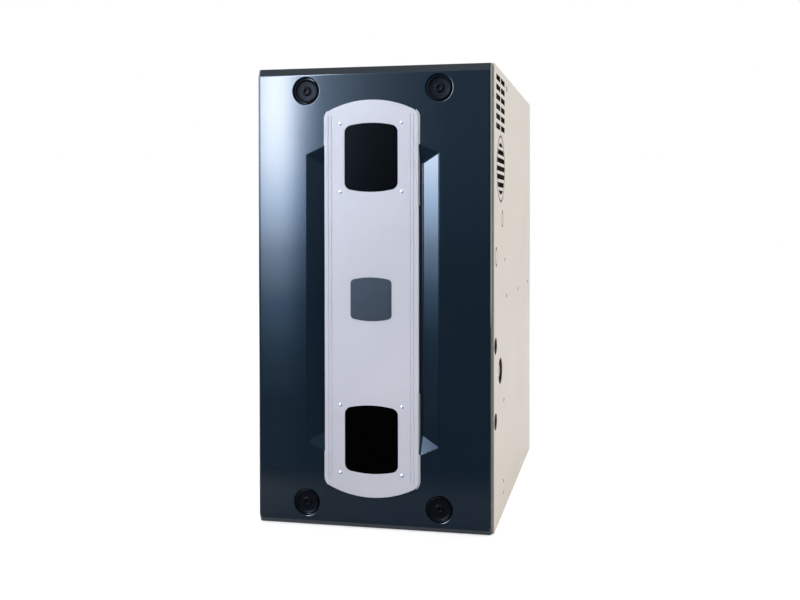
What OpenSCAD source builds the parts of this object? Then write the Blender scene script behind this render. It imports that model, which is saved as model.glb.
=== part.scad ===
// Forced air gas furnace, upflow, condensing, with one full-height door.
// +Z is up, the door faces -Y, and the origin is on the floor under the middle of the furnace.

/* [Cabinet] */
// Width of the cabinet
cab_w = 533.4; // [520:1:620]
// Height of the cabinet
cab_h = 1016; // [1010:1:1080]
// Depth of the cabinet without its door
cab_d = 702; // [690:1:780]
// Thickness of the cabinet's sheet steel
sheet_t = 1.2; // [1:0.1:1.6]
// Width of the flange turned in at the front of each side
front_flange_w = 22; // [18:1:26]
// Height of the lips at top and bottom that the latch cams hook behind
latch_lip_h = 31; // [29:1:33]
// Width of the ledge around the bottom
base_ledge_w = 25; // [22:1:28]
// Radius of the four leveling bolt holes
level_hole_r = 4.8; // [4:0.1:6]
// Height of the duct flanges above the top
duct_flange_h = 19; // [14:1:24]
// Distance of the duct flanges from the cabinet's sides
duct_inset = 20; // [16:1:26]

/* [Side panel holes] */
// Length of a vent slot
vent_slot_l = 60; // [44:1:62]
// Height of a vent slot
vent_slot_h = 12.4; // [10:0.2:16]
// Spacing of the vent rows
vent_pitch = 21.4; // [20:0.2:23]
// Rows of vent slots
vent_rows = 6; // [3:1:6]
// Distance of the first vent column from the cabinet's front
vent_y = 30; // [26:1:34]
// Gap between the two vent columns
vent_gap = 11; // [8:1:14]
// Radius of the round slotted knock-out
knockout_r = 64.5; // [60:0.5:67]
// Height of the knock-out's centre
knockout_z = 794; // [785:1:798]
// Rows of slots in the knock-out
knockout_rows = 7; // [5:1:7]
// Spacing of the knock-out's rows
knockout_pitch = 18.3; // [17:0.1:18.5]
// Radius of the conduit hole and the lower hole
conduit_hole_r = 18.5; // [15:0.5:20]
// Radius of the drain hole
drain_hole_r = 29; // [24:0.5:31]
// Radius of the gas pipe hole in the left side
gas_hole_r = 19; // [16:0.5:22]

/* [Door] */
// Depth of the door's steel pan
door_d = 19; // [18.8:0.1:20]
// Gap under and over the door
door_edge_gap = 2; // [1:0.5:3]
// Distance of the door's sides from the cabinet's sides
door_inset = 2.5; // [0.5:0.5:4]
// Height of the sloped band at the door's top and bottom
door_bevel_h = 17; // [12:1:20]
// Depth of that slope
door_bevel_d = 6; // [4:0.5:8]
// Radius of the door's rolled side edges
door_roll_r = 8; // [5:0.5:9]
// Thickness of the foam gasket
gasket_t = 2.7; // [2:0.1:3.5]
// Clearance between the gasket and the cabinet
seat_gap = 0.3; // [0.2:0.1:0.5]
// Depth of the pressed scoop
scoop_depth = 8; // [7:0.5:16.5]
// Half width of the scoop at the door's face
scoop_half_w = 149; // [135:1:155]
// Half width of the scoop's floor
scoop_floor_half_w = 112; // [108:1:114]
// Height of the scoop's lower end
scoop_low_z = 170; // [160:1:178]
// Height of the scoop's upper end
scoop_high_z = 840; // [832:1:850]

/* [Trim strip] */
// Width of the trim strip
trim_w = 212; // [206:1:215]
// Height of the trim strip's lower tip
trim_low_z = 72; // [66:1:78]
// Height of the trim strip's upper tip
trim_high_z = 940; // [932:1:946]
// Rise of the strip's arched ends
trim_rise = 28; // [20:1:34]
// How far the strip stands in front of the door
trim_proud = 6; // [4:0.5:8]
// Thickness of the strip
trim_t = 2; // [1.6:0.1:2.6]
// Half height of the open finger gap
finger_half_h = 205; // [150:1:220]
// Width of a window opening
window_w = 120; // [110:1:124]
// Height of a window opening
window_h = 150; // [140:1:156]
// Rise of a window's arched edges
window_rise = 8; // [4:1:12]
// Height of the lower window's centre
window_low_z = 199; // [192:1:206]
// Height of the upper window's centre
window_high_z = 814.5; // [808:0.5:822]
// Thickness of a window pane
pane_t = 2.5; // [2:0.1:4]
// Radius of a trim screw's head
trim_screw_r = 4; // [3:0.1:5]
// Height of a trim screw's head
trim_screw_h = 2; // [1.4:0.1:2.6]
// Width of the centre plate
badge_w = 92; // [80:1:98]
// Height of the centre plate
badge_h = 95; // [84:1:102]
// Thickness of the centre plate
badge_t = 1.6; // [1:0.1:1.8]

/* [Latches] */
// Distance of a latch from the door's centre line
latch_x = 150; // [140:1:170]
// Distance of a latch from the door's top or bottom edge
latch_edge = 51; // [48:1:54]
// Radius of a latch knob
knob_r = 26.5; // [22:0.5:28]
// Radius of the pressed cup around a knob
cup_r = 29.5; // [29:0.5:32]
// Depth of that cup
cup_depth = 8; // [7:0.5:10]
// Radius of a latch spindle
spindle_r = 5; // [4:0.5:6]
// Length of a latch cam from the spindle's axis to its tip
cam_l = 34; // [32:0.5:36]
// Width of a latch cam
cam_w = 13; // [11:0.5:15]
// Thickness of a latch cam
cam_t = 3; // [2:0.5:4]

/* [Blower] */
// Radius of the blower wheel
wheel_r = 138; // [120:1:142]
// Width of the blower wheel
wheel_w = 250; // [220:1:256]
// Number of blades
wheel_blades = 44; // [30:1:52]
// Width of the blower housing
blower_w = 270; // [268:1:290]
// Smallest radius of the housing's scroll
scroll_r0 = 152; // [148:1:156]
// Growth of the scroll's radius over its sweep
scroll_grow = 60; // [50:1:64]
// Radius of the housing's inlet rings
inlet_r = 112; // [100:1:114]
// Height of the blower's axis
blower_z = 228; // [224:1:232]
// Height of the blower deck
deck_z = 440; // [436:1:446]
// Radius of the blower motor
motor_r = 69; // [60:1:74]
// Length of the blower motor
motor_l = 140; // [110:1:150]
// Radius of the blower shaft
shaft_r = 6.35; // [6:0.05:8]
// Radial running clearance of a shaft
run_fit = 0.05; // [0.02:0.01:0.09]

/* [Heat exchangers] */
// Number of primary tubes
tube_count = 4; // [3:1:4]
// Spacing of the primary tubes
tube_pitch = 72; // [60:1:76]
// Outer radius of a primary tube
tube_r = 24; // [20:0.5:26]
// Wall of a primary tube
tube_wall = 1.5; // [1:0.1:2]
// Height of the primary tubes' first pass
tube_top_z = 930; // [926:1:940]
// Height between two passes
tube_drop = 100; // [90:1:102]
// Depth of the vestibule, from the cabinet's front to the vestibule panel
vestibule_d = 185; // [180:1:190]
// Thickness of the foil-faced liner
liner_t = 12; // [8:1:16]
// Height of the secondary coil
coil_h = 90; // [80:1:100]
// Height of the secondary coil's underside
coil_z = 565; // [560:1:572]
// Spacing of the coil's fins
fin_pitch = 14; // [12:1:20]
// Thickness of a coil fin
fin_t = 2; // [1:0.1:3]

/* [Vestibule parts] */
// Outer radius of the vent and intake sockets
socket_r = 33.5; // [32.5:0.1:34]
// Inner radius of the vent and intake sockets, for a 60.3 mm pipe
socket_bore_r = 30.25; // [30.2:0.05:30.6]
// Depth of the vent and intake sockets
socket_depth = 35; // [25:1:40]
// How far the sockets stand above the top
socket_rise = 12; // [6:1:14]
// Distance of the vent from the centre line
vent_x = 215; // [214:1:218]
// Distance of the intake from the centre line, to the left
intake_x = 100; // [80:1:120]
// Half width of the burner box
burner_half_w = 175; // [165:1:178]
// Height of the burner box
burner_box_h = 105; // [100:1:110]
// Depth of the burner box
burner_box_d = 138; // [130:1:140]
// Radius of a burner
burner_r = 17; // [14:0.5:20]
// Radius of the gas manifold pipe
manifold_r = 10.7; // [9:0.1:11]
// Radius of the gas valve's inlet
gas_inlet_r = 9.3; // [8:0.1:10]
// Distance of the inducer's axis from the centre line
inducer_x = 60; // [50:1:70]
// Height of the inducer's axis
inducer_z = 600; // [596:1:606]
// Radius of the inducer housing
inducer_r = 85; // [78:1:88]
// Radius of the inducer wheel
inducer_wheel_r = 66; // [56:1:70]
// Travel of the door switch plunger
switch_travel = 6; // [4:0.5:7]
// Travel of a reset button
reset_travel = 2; // [1.5:0.1:2.5]

/* [Hidden] */
$fn = 48;
eps = 0.01;
side_t = sheet_t;
seam_gap = 0.05;
half_w = cab_w / 2;
inner_half_w = half_w - side_t;
door_half_w = half_w - door_inset;
y_front = -(cab_d + door_d + gasket_t + seat_gap + trim_proud + trim_screw_h) / 2;
y_door = y_front + trim_screw_h + trim_proud;
y_pan_back = y_door + door_d;
y_cab = y_pan_back + gasket_t + seat_gap;
y_back = y_cab + cab_d;
y_lip = y_cab + sheet_t;
y_vest = y_cab + vestibule_d;
top_in = cab_h - sheet_t;

// The places above are for the standard cabinet: its width, its height, and its blower housing's width.
// What hangs from the top or from a side moves with it, and the wheel keeps its clearance in the housing.
standard_w = 533.4;
standard_h = 1016;
standard_blower_w = 270;
up = cab_h - standard_h;
out = (cab_w - standard_w) / 2;
coil_up = 0.6 * up;
wheel_l = wheel_w + blower_w - standard_blower_w;
tube_z = tube_top_z + up;
tube_low_z = tube_z - 2 * tube_drop;
coil_low_z = coil_z + coil_up;
fan_x = inducer_x + out;
fan_z = inducer_z + coil_up;
vent_at_x = vent_x + out;
burner_box_half_w = burner_half_w + out;
trim_top_z = trim_high_z + up;
window_top_z = window_high_z + up;
scoop_top_z = scoop_high_z + up;
knockout_at_z = knockout_z + up;

// ---------- shapes used by several sub-parts ----------

// A block given by its lowest and highest corners.
module block(low, high) {
    translate(low)
        cube(high - low);
}

// A round bar or hole that starts at a point and runs back along +Y.
module rod_y(start, r, l) {
    translate(start)
        rotate([-90, 0, 0])
            cylinder(r = r, h = l);
}

// A round bar or hole that starts at a point and runs along +X.
module rod_x(start, r, l) {
    translate(start)
        rotate([0, 90, 0])
            cylinder(r = r, h = l);
}

// A round bar or hole that starts at a point and runs up.
module rod_z(start, r, l) {
    translate(start)
        cylinder(r = r, h = l);
}

// A quarter bend of a round bar in the plane of two axes; the turn is done by the caller.
module bend(bend_r, r) {
    rotate_extrude(angle = 90)
        translate([bend_r, 0])
            circle(r = r);
}

// A profile drawn in X and Z, standing upright with its front at y and its back at y + t.
module upright(y, t) {
    translate([0, y + t, 0])
        rotate([90, 0, 0])
            linear_extrude(height = t)
                children();
}

// Points of an upright outline with arched top and bottom edges and rounded corners.
// w and h are the full size, rise is the arch's height, and r is the corner's radius.
arch_steps = 12;
corner_steps = 5;
function arch_r(w, rise) = (w * w / 4 + rise * rise) / (2 * rise);
function corner_x(w, r) = w / 2 - r;
function corner_z(w, h, rise, r) =
    h / 2 - arch_r(w, rise) + sqrt(pow(arch_r(w, rise) - r, 2) - pow(corner_x(w, r), 2));
function corner_a(w, rise, r) = acos(corner_x(w, r) / (arch_r(w, rise) - r));
function quarter(w, h, rise, r) = concat(
    [for (i = [0 : corner_steps])
        let (a = corner_a(w, rise, r) * i / corner_steps)
        [corner_x(w, r) + r * cos(a), corner_z(w, h, rise, r) + r * sin(a)]],
    [for (i = [1 : arch_steps])
        let (a = corner_a(w, rise, r) + (90 - corner_a(w, rise, r)) * i / arch_steps)
        [arch_r(w, rise) * cos(a), h / 2 - arch_r(w, rise) + arch_r(w, rise) * sin(a)]]);
function flipped(points, sx, sz) = [for (p = points) [p[0] * sx, p[1] * sz]];
function backwards(points, skip) = [for (i = [len(points) - 1 - skip : -1 : 0]) points[i]];
function arched(w, h, rise, r) = let (q = quarter(w, h, rise, r)) concat(
    q, backwards(flipped(q, -1, 1), 1), flipped(q, -1, -1), backwards(flipped(q, 1, -1), 1));

// An arched plate whose centre is at height z.
module arched_plate(y, t, z, w, h, rise, r) {
    upright(y, t)
        translate([0, z])
            polygon(arched(w, h, rise, r));
}

// ---------- cabinet ----------

knockout_y = y_cab + vent_y + 70;
vent_top_z = cab_h - 17;
conduit_y = y_cab + 22;
conduit_z = deck_z - 37;
drain_y = y_cab + 93;
drain_z = deck_z - 103;
lower_hole_z = drain_z - 99;
gas_y = y_cab + 48;
gas_z = tube_z - 130;

// The vent slots as cutters, in two columns.
module vent_slots(x, t) {
    for (column = [0, 1], row = [0 : vent_rows - 1])
        let (y = y_cab + vent_y + column * (vent_slot_l + vent_gap),
             z = vent_top_z - vent_slot_h / 2 - row * vent_pitch)
        block([x, y, z - vent_slot_h / 2], [x + t, y + vent_slot_l, z + vent_slot_h / 2]);
}

// The slots of the round knock-out, cut short by its circle.
module knockout_slots(x, t) {
    slot_h = knockout_pitch * 0.62;
    intersection() {
        rod_x([x, knockout_y, knockout_at_z], knockout_r - 6, t);
        for (row = [0 : knockout_rows - 1])
            let (z = knockout_at_z + (row - (knockout_rows - 1) / 2) * knockout_pitch)
            block([x, knockout_y - knockout_r, z - slot_h / 2],
                  [x + t, knockout_y + knockout_r, z + slot_h / 2]);
    }
}

// One side of the cabinet, drawn for the right. The gas side has a pipe hole instead of the knock-out.
module side_panel(gas) {
    cut_x = inner_half_w - 1;
    cut_t = side_t + 2;
    mark_r = 2.2;
    difference() {
        union() {
            block([inner_half_w, y_cab, 0], [half_w, y_back, cab_h]);
            block([half_w - front_flange_w, y_cab, 0], [half_w, y_lip, cab_h]);
            block([half_w - side_t - duct_inset, y_vest + duct_inset, top_in],
                  [half_w, y_back - sheet_t, cab_h]);
        }
        vent_slots(cut_x, cut_t);
        rod_x([cut_x, conduit_y, conduit_z], conduit_hole_r, cut_t);
        rod_x([cut_x, drain_y, drain_z], drain_hole_r, cut_t);
        rod_x([cut_x, conduit_y, lower_hole_z], conduit_hole_r, cut_t);
        for (p = [[140, 698], [140, 663], [45, 615], [45, 580], [181, 585],
                  [210, 498], [432, 497], [650, 500], [212, 988 + up]])
            rod_x([cut_x, y_cab - 14 + p[0], p[1]], mark_r, cut_t);
        if (gas)
            rod_x([cut_x, gas_y, gas_z], gas_hole_r, cut_t);
        else
            knockout_slots(cut_x, cut_t);
    }
}

module left_side_panel() {
    color("#d8d2cc")
        mirror([1, 0, 0])
            side_panel(true);
}

module right_side_panel() {
    color("#d8d2cc")
        side_panel(false);
}

module back_panel() {
    edge = half_w - side_t - duct_inset;
    color("#d0ccc6") {
        block([-inner_half_w, y_back - sheet_t, 0], [inner_half_w, y_back, cab_h]);
        block([-edge, y_back - sheet_t - duct_inset, top_in], [edge, y_back, cab_h]);
    }
}

// Plate over the vestibule, and at a fine seam the lip that the upper latch cams hook behind.
module top_front_plate() {
    lip_half_w = half_w - front_flange_w;
    hole_r = socket_r + 0.3;
    color("#d0ccc6")
        difference() {
            union() {
                block([-inner_half_w, y_lip + seam_gap, top_in], [inner_half_w, y_vest + duct_inset, cab_h]);
                block([-lip_half_w, y_cab, cab_h - latch_lip_h], [lip_half_w, y_lip, cab_h]);
            }
            rod_z([vent_at_x, vent_y_pos, top_in - 1], hole_r, sheet_t + 2);
            rod_z([-intake_x, intake_y, top_in - 1], hole_r, sheet_t + 2);
        }
}

module duct_flanges() {
    x = half_w - side_t - duct_inset;
    y0 = y_vest + duct_inset;
    y1 = y_back - sheet_t - duct_inset;
    color("#bfc3c6")
        difference() {
            block([-x, y0, top_in], [x, y1, cab_h + duct_flange_h]);
            block([-x + sheet_t, y0 + sheet_t, top_in - 1],
                  [x - sheet_t, y1 - sheet_t, cab_h + duct_flange_h + 1]);
        }
}

level_x = inner_half_w - 13;
level_y0 = y_lip + 13;
level_y1 = y_back - sheet_t - 13;

// Ledge around the open bottom, with the lip that the lower latch cams hook behind.
module base_frame() {
    lip_half_w = half_w - front_flange_w;
    color("#bfc3c6")
        difference() {
            union() {
                block([-inner_half_w, y_lip, 0], [inner_half_w, y_back - sheet_t, sheet_t]);
                block([-lip_half_w, y_cab, 0], [lip_half_w, y_lip, latch_lip_h]);
            }
            block([-inner_half_w + base_ledge_w, y_lip + base_ledge_w, -1],
                  [inner_half_w - base_ledge_w, y_back - sheet_t - base_ledge_w, sheet_t + 1]);
            for (x = [-level_x, level_x], y = [level_y0, level_y1])
                rod_z([x, y, -1], level_hole_r, sheet_t + 2);
        }
}

blower_y = y_back - 306;
scroll_t = 1.2;
outlet_y1 = blower_y + scroll_r0 + scroll_grow;
header_half_w = 150 + out;
collector_half_w = header_half_w + 7;
hose_x = collector_half_w - 7;
hose_y = y_cab + 75;
hose_r = 8;
loom_x = -inner_half_w + 20.5;
loom_y = y_cab + 106;
loom_r = 6;
grommet_gap = 1;

// Shelf that carries the blower and parts the two compartments.
module blower_deck() {
    lip_half_w = half_w - front_flange_w;
    lip_h = 19;
    color("#bfc3c6")
        difference() {
            union() {
                block([-inner_half_w, y_lip, deck_z], [inner_half_w, y_back - sheet_t, deck_z + sheet_t]);
                block([-lip_half_w, y_cab, deck_z - lip_h], [lip_half_w, y_lip, deck_z + sheet_t]);
            }
            block([-blower_w / 2 + scroll_t, outlet_y0, deck_z - 1],
                  [blower_w / 2 - scroll_t, outlet_y1, deck_z + sheet_t + 1]);
            rod_z([hose_x, hose_y, deck_z - 1], hose_r + grommet_gap, sheet_t + 2);
            rod_z([loom_x, loom_y, deck_z - 1], loom_r + grommet_gap, sheet_t + 2);
        }
}

function tube_x(i) = (i - (tube_count - 1) / 2) * tube_pitch;
header_edge = 20;

module vestibule_panel() {
    color("#bfc3c6")
        difference() {
            block([-inner_half_w, y_vest, deck_z + sheet_t], [inner_half_w, y_vest + sheet_t, top_in]);
            for (i = [0 : tube_count - 1])
                rod_y([tube_x(i), y_vest - 1, tube_z], tube_r + run_fit, sheet_t + 2);
            block([-header_half_w, y_vest - 1, coil_low_z + header_edge],
                  [header_half_w, y_vest + sheet_t + 1, coil_low_z + coil_h - header_edge]);
        }
}

// Three foil-faced boards around the heat exchangers.
module insulation_liner() {
    z0 = deck_z + sheet_t;
    y0 = y_vest + sheet_t;
    y1 = y_back - sheet_t;
    corner_gap = 0.2;
    color("#c9cbcc") {
        for (side = [0, 1])
            mirror([side, 0, 0])
                block([inner_half_w - liner_t, y0, z0], [inner_half_w, y1, top_in]);
        block([-inner_half_w + liner_t + corner_gap, y1 - liner_t, z0],
              [inner_half_w - liner_t - corner_gap, y1, top_in]);
    }
}

// ---------- heat exchangers ----------

pass_r = tube_drop / 2;
front_bend_y = y_vest + 92;
box_depth = 70;
box_y0 = y_back - 27 - box_depth;
rear_bend_y = box_y0 - 30;

// Path of one primary tube, as a bar of radius r: three passes and two U bends.
module tube_path(r, start) {
    z1 = tube_z;
    z2 = z1 - tube_drop;
    z3 = tube_low_z;
    rod_y([0, y_vest - start, z1], r, rear_bend_y - y_vest + start);
    translate([0, rear_bend_y, z1 - pass_r])
        rotate([90, 0, 90])
            rotate([0, 0, -90])
                rotate_extrude(angle = 180)
                    translate([pass_r, 0])
                        circle(r = r);
    rod_y([0, front_bend_y, z2], r, rear_bend_y - front_bend_y);
    translate([0, front_bend_y, z2 - pass_r])
        rotate([90, 0, 90])
            rotate([0, 0, 90])
                rotate_extrude(angle = 180)
                    translate([pass_r, 0])
                        circle(r = r);
    rod_y([0, front_bend_y, z3], r, box_y0 - front_bend_y + start);
}

module primary_heat_exchanger() {
    color("#9aa0a3")
        for (i = [0 : tube_count - 1])
            translate([tube_x(i), 0, 0])
                difference() {
                    tube_path(tube_r, 0);
                    tube_path(tube_r - tube_wall, 1);
                }
}

// Box at the rear that turns the hot gas from the tubes down into the coil.
module transition_box() {
    half = tube_x(tube_count - 1) + tube_r + 12;
    z_top = tube_low_z + tube_r + 12;
    wall = 1.5;
    color("#8f9497")
        difference() {
            block([-half, box_y0, coil_low_z], [half, box_y0 + box_depth, z_top]);
            block([-half + wall, box_y0 + wall, coil_low_z + wall],
                  [half - wall, box_y0 + box_depth - wall, z_top - wall]);
            for (i = [0 : tube_count - 1])
                rod_y([tube_x(i), box_y0 - 1, tube_low_z], tube_r - tube_wall, wall + 2);
            block([-header_half_w, box_y0 - 1, coil_low_z + header_edge],
                  [header_half_w, box_y0 + wall + 1, coil_low_z + coil_h - header_edge]);
        }
}

// Finned coil: a core of tube rows with plate fins standing above and below it.
module secondary_coil() {
    y0 = y_vest + sheet_t;
    l = box_y0 - y0;
    fins = floor((l - fin_t) / fin_pitch);
    core_edge = header_edge;
    color("#b9bdbf")
        difference() {
            block([-header_half_w - 10, y0, coil_low_z], [header_half_w + 10, y0 + l, coil_low_z + coil_h]);
            for (i = [0 : fins - 1], high = [0, 1])
                let (y = y0 + fin_t + i * fin_pitch,
                     z = high == 1 ? coil_low_z + coil_h - core_edge : coil_low_z - 1)
                block([-header_half_w - 11, y, z],
                      [header_half_w + 11, y + fin_pitch - fin_t, z + core_edge + 1]);
        }
}

// ---------- flue side of the vestibule ----------

collector_d = 38;
collector_z0 = coil_low_z - 20;
collector_z1 = coil_low_z + coil_h + 15;
collector_wall = 3;
inducer_d = 50;
inducer_wall = 2;
inducer_y1 = y_vest - collector_d;
inducer_y0 = inducer_y1 - inducer_d;
inducer_out_r = 24;
inducer_out_z = fan_z + 50;
vent_bend_r = 40;
boot_l = 12;
inducer_out_x = vent_at_x - vent_bend_r - 5;
inducer_eye_r = 35;
inducer_shaft_r = 4;

// Moulded header at the cold end of the coil, open towards the coil, with a drain stub below.
module collector_box() {
    y0 = y_vest - collector_d;
    color("#2b2d30")
        difference() {
            union() {
                block([-collector_half_w, y0, collector_z0], [collector_half_w, y_vest, collector_z1]);
                rod_z([hose_x, y0 + collector_d / 2, collector_z0 - 15], hose_r - 2, 16);
            }
            block([-collector_half_w + collector_wall, y0 + collector_wall, collector_z0 + collector_wall],
                  [collector_half_w - collector_wall, y_vest + 1, collector_z1 - collector_wall]);
            rod_y([fan_x, y0 - 1, fan_z], inducer_eye_r, collector_wall + 2);
            rod_z([hose_x, y0 + collector_d / 2, collector_z0 - 16], hose_r - 4, 16 + collector_wall + 1);
        }
}

module inducer_housing() {
    color("#34373a")
        difference() {
            union() {
                rod_y([fan_x, inducer_y0, fan_z], inducer_r, inducer_d);
                rod_x([fan_x, vent_y_pos, inducer_out_z], inducer_out_r, inducer_out_x - fan_x);
            }
            rod_y([fan_x, inducer_y0 + inducer_wall, fan_z], inducer_r - inducer_wall,
                  inducer_d - 2 * inducer_wall);
            rod_x([fan_x, vent_y_pos, inducer_out_z], inducer_out_r - inducer_wall,
                  inducer_out_x - fan_x + 1);
            rod_y([fan_x, inducer_y0 - 1, fan_z], inducer_eye_r, inducer_d + 2);
        }
}

inducer_motor_l = 58;
inducer_motor_r = 40;
inducer_bore_l = 24;

// Motor on the housing's front; its foot plate closes the housing.
module inducer_motor() {
    y0 = inducer_y0 - inducer_motor_l;
    foot_t = 3;
    color("#6d7276")
        difference() {
            union() {
                rod_y([fan_x, y0 + 10, fan_z], inducer_motor_r, inducer_motor_l - 10);
                rod_y([fan_x, y0, fan_z], 18, 11);
                rod_y([fan_x, inducer_y0 - foot_t, fan_z], inducer_motor_r + 14, foot_t);
            }
            rod_y([fan_x, inducer_y0 - inducer_bore_l, fan_z], inducer_shaft_r + run_fit,
                  inducer_bore_l + 1);
            for (i = [0 : 11])
                translate([fan_x, 0, fan_z])
                    rotate([0, i * 30, 0])
                        block([26, y0 + 9, -3], [inducer_motor_r - 4, y0 + 22, 3]);
        }
}

module inducer_wheel() {
    y0 = inducer_y0 + inducer_wall + 5;
    depth = inducer_d - 2 * inducer_wall - 12;
    blades = 24;
    blade_t = 1.6;
    color("#3b3f43") {
        rod_y([fan_x, inducer_y0 - inducer_bore_l + 1, fan_z], inducer_shaft_r,
              y0 - inducer_y0 + inducer_bore_l + depth / 2);
        rod_y([fan_x, y0, fan_z], 12, depth / 2);
        rod_y([fan_x, y0, fan_z], inducer_wheel_r, 2);
        translate([fan_x, y0, fan_z])
            for (i = [0 : blades - 1])
                rotate([0, i * 360 / blades, 0])
                    block([inducer_wheel_r * 0.6, 1, -blade_t / 2],
                          [inducer_wheel_r - 1, depth, blade_t / 2]);
    }
}

vent_y_pos = inducer_y0 + inducer_d / 2;
intake_y = vent_y_pos;
pipe_r = 30.15;
pipe_wall = 3.1;
socket_top = cab_h + socket_rise;

// Vent: a boot on the inducer's outlet, an elbow, a riser, and a socket above the top.
module vent_pipe() {
    x0 = inducer_out_x - boot_l;
    bend_x = vent_at_x - vent_bend_r;
    z1 = inducer_out_z + vent_bend_r;
    socket_z = socket_top - socket_depth - 4;
    color("#ded9cc")
        difference() {
            union() {
                rod_x([x0, vent_y_pos, inducer_out_z], pipe_r, bend_x - x0);
                translate([bend_x, vent_y_pos, z1])
                    rotate([90, 0, 0])
                        rotate([0, 0, -90])
                            bend(vent_bend_r, pipe_r);
                rod_z([vent_at_x, vent_y_pos, z1], pipe_r, socket_z - z1 + 2);
                rod_z([vent_at_x, vent_y_pos, socket_z], socket_r, socket_depth + 4);
            }
            rod_x([x0 - 1, vent_y_pos, inducer_out_z], inducer_out_r + run_fit, boot_l + 2);
            rod_x([x0 + boot_l, vent_y_pos, inducer_out_z], pipe_r - pipe_wall, bend_x - x0 - boot_l);
            translate([bend_x, vent_y_pos, z1])
                rotate([90, 0, 0])
                    rotate([0, 0, -90])
                        bend(vent_bend_r, pipe_r - pipe_wall);
            rod_z([vent_at_x, vent_y_pos, z1], pipe_r - pipe_wall, socket_z - z1 + 5);
            rod_z([vent_at_x, vent_y_pos, socket_top - socket_depth], socket_bore_r, socket_depth + 1);
        }
}

burner_z0 = tube_z - burner_box_h / 2;
burner_z1 = tube_z + burner_box_h / 2;
burner_y0 = y_vest - burner_box_d;
box_wall = 1.5;

// Intake: a short pipe from the socket in the top down into the burner box.
module intake_pipe() {
    socket_z = socket_top - socket_depth - 4;
    color("#ded9cc")
        difference() {
            union() {
                rod_z([-intake_x, intake_y, burner_z1], pipe_r, socket_z - burner_z1 + 2);
                rod_z([-intake_x, intake_y, socket_z], socket_r, socket_depth + 4);
            }
            rod_z([-intake_x, intake_y, burner_z1 - 1], pipe_r - pipe_wall, socket_z - burner_z1 + 6);
            rod_z([-intake_x, intake_y, socket_top - socket_depth], socket_bore_r, socket_depth + 1);
        }
}

// ---------- gas side ----------

orifice_r = 4.5;
probe_x = burner_box_half_w - 35;
probe_z = tube_z - 35;
probe_r = 3;

module burner_box() {
    color("#b4b8ba")
        difference() {
            block([-burner_box_half_w, burner_y0, burner_z0], [burner_box_half_w, y_vest, burner_z1]);
            block([-burner_box_half_w + box_wall, burner_y0 + box_wall, burner_z0 + box_wall],
                  [burner_box_half_w - box_wall, y_vest + 1, burner_z1 - box_wall]);
            for (i = [0 : tube_count - 1])
                rod_y([tube_x(i), burner_y0 - 1, tube_z], orifice_r + 0.3, box_wall + 2);
            for (x = [-probe_x, probe_x])
                rod_y([x, burner_y0 - 1, probe_z], probe_r + 0.3, box_wall + 2);
            rod_z([-intake_x, intake_y, burner_z1 - box_wall - 1], pipe_r - pipe_wall, box_wall + 2);
        }
}

// In-shot burners: flared tubes held in one plate across the burner box.
module burners() {
    y0 = burner_y0 + 24;
    l = burner_box_d - 40;
    plate_y = y_vest - 60;
    wall = 1.2;
    plate_h = 62;
    color("#8b8f90")
        difference() {
            union() {
                for (i = [0 : tube_count - 1]) {
                    rod_y([tube_x(i), y0, tube_z], burner_r - 4, l);
                    rod_y([tube_x(i), y0, tube_z], burner_r, 14);
                    rod_y([tube_x(i), y0 + l - 22, tube_z], burner_r, 22);
                }
                block([-burner_box_half_w + box_wall, plate_y, tube_z - plate_h / 2],
                      [burner_box_half_w - box_wall, plate_y + wall, tube_z + plate_h / 2]);
            }
            for (i = [0 : tube_count - 1]) {
                rod_y([tube_x(i), y0 - 1, tube_z], burner_r - 4 - wall, l + 2);
                rod_y([tube_x(i), y0 - 1, tube_z], burner_r - wall, 13);
                rod_y([tube_x(i), y0 + l - 20, tube_z], burner_r - wall, 22);
            }
        }
}

manifold_y = burner_y0 - manifold_r - 3.3;
valve_x0 = -inner_half_w + 65.5;
valve_x1 = valve_x0 + 70;
valve_z0 = gas_z - 30;
valve_z1 = valve_z0 + 80;
riser_x = (valve_x0 + valve_x1) / 2;
valve_y0 = manifold_y - 19;
valve_y1 = manifold_y + 41;

// Manifold pipe with its riser from the gas valve and one orifice for each burner.
module gas_manifold() {
    x1 = tube_x(tube_count - 1) + 30;
    color("#d2b35a") {
        rod_x([riser_x, manifold_y, tube_z], manifold_r, x1 - riser_x);
        translate([riser_x, manifold_y, tube_z])
            sphere(r = manifold_r);
        rod_z([riser_x, manifold_y, valve_z1], manifold_r, tube_z - valve_z1);
        for (i = [0 : tube_count - 1])
            rod_y([tube_x(i), manifold_y, tube_z], orifice_r, burner_y0 - manifold_y + 8);
    }
}

valve_knob_z = valve_z1 - 24;
valve_knob_r = 14;
valve_knob_l = 7;
valve_spindle_r = 4;
valve_spindle_l = 10;

module gas_valve() {
    inlet_l = 14;
    color("#a9adb0")
        difference() {
            union() {
                block([valve_x0, valve_y0, valve_z0], [valve_x1, valve_y1, valve_z1]);
                rod_x([valve_x0 - 4, gas_y, gas_z], 16, 5);
                rod_z([riser_x, manifold_y, valve_z0 - 14], 12, 15);
                rod_z([valve_x1 - 14, valve_y1 - 16, valve_z1 - 1], 12, 21);
                rod_y([riser_x, valve_y0 - 4, gas_z - 12], 10, 5);
            }
            rod_x([valve_x0 - 5, gas_y, gas_z], gas_inlet_r, inlet_l + 1);
            rod_y([riser_x, valve_y0 - 1, valve_knob_z], valve_spindle_r + run_fit, valve_spindle_l + 2);
        }
}

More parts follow.
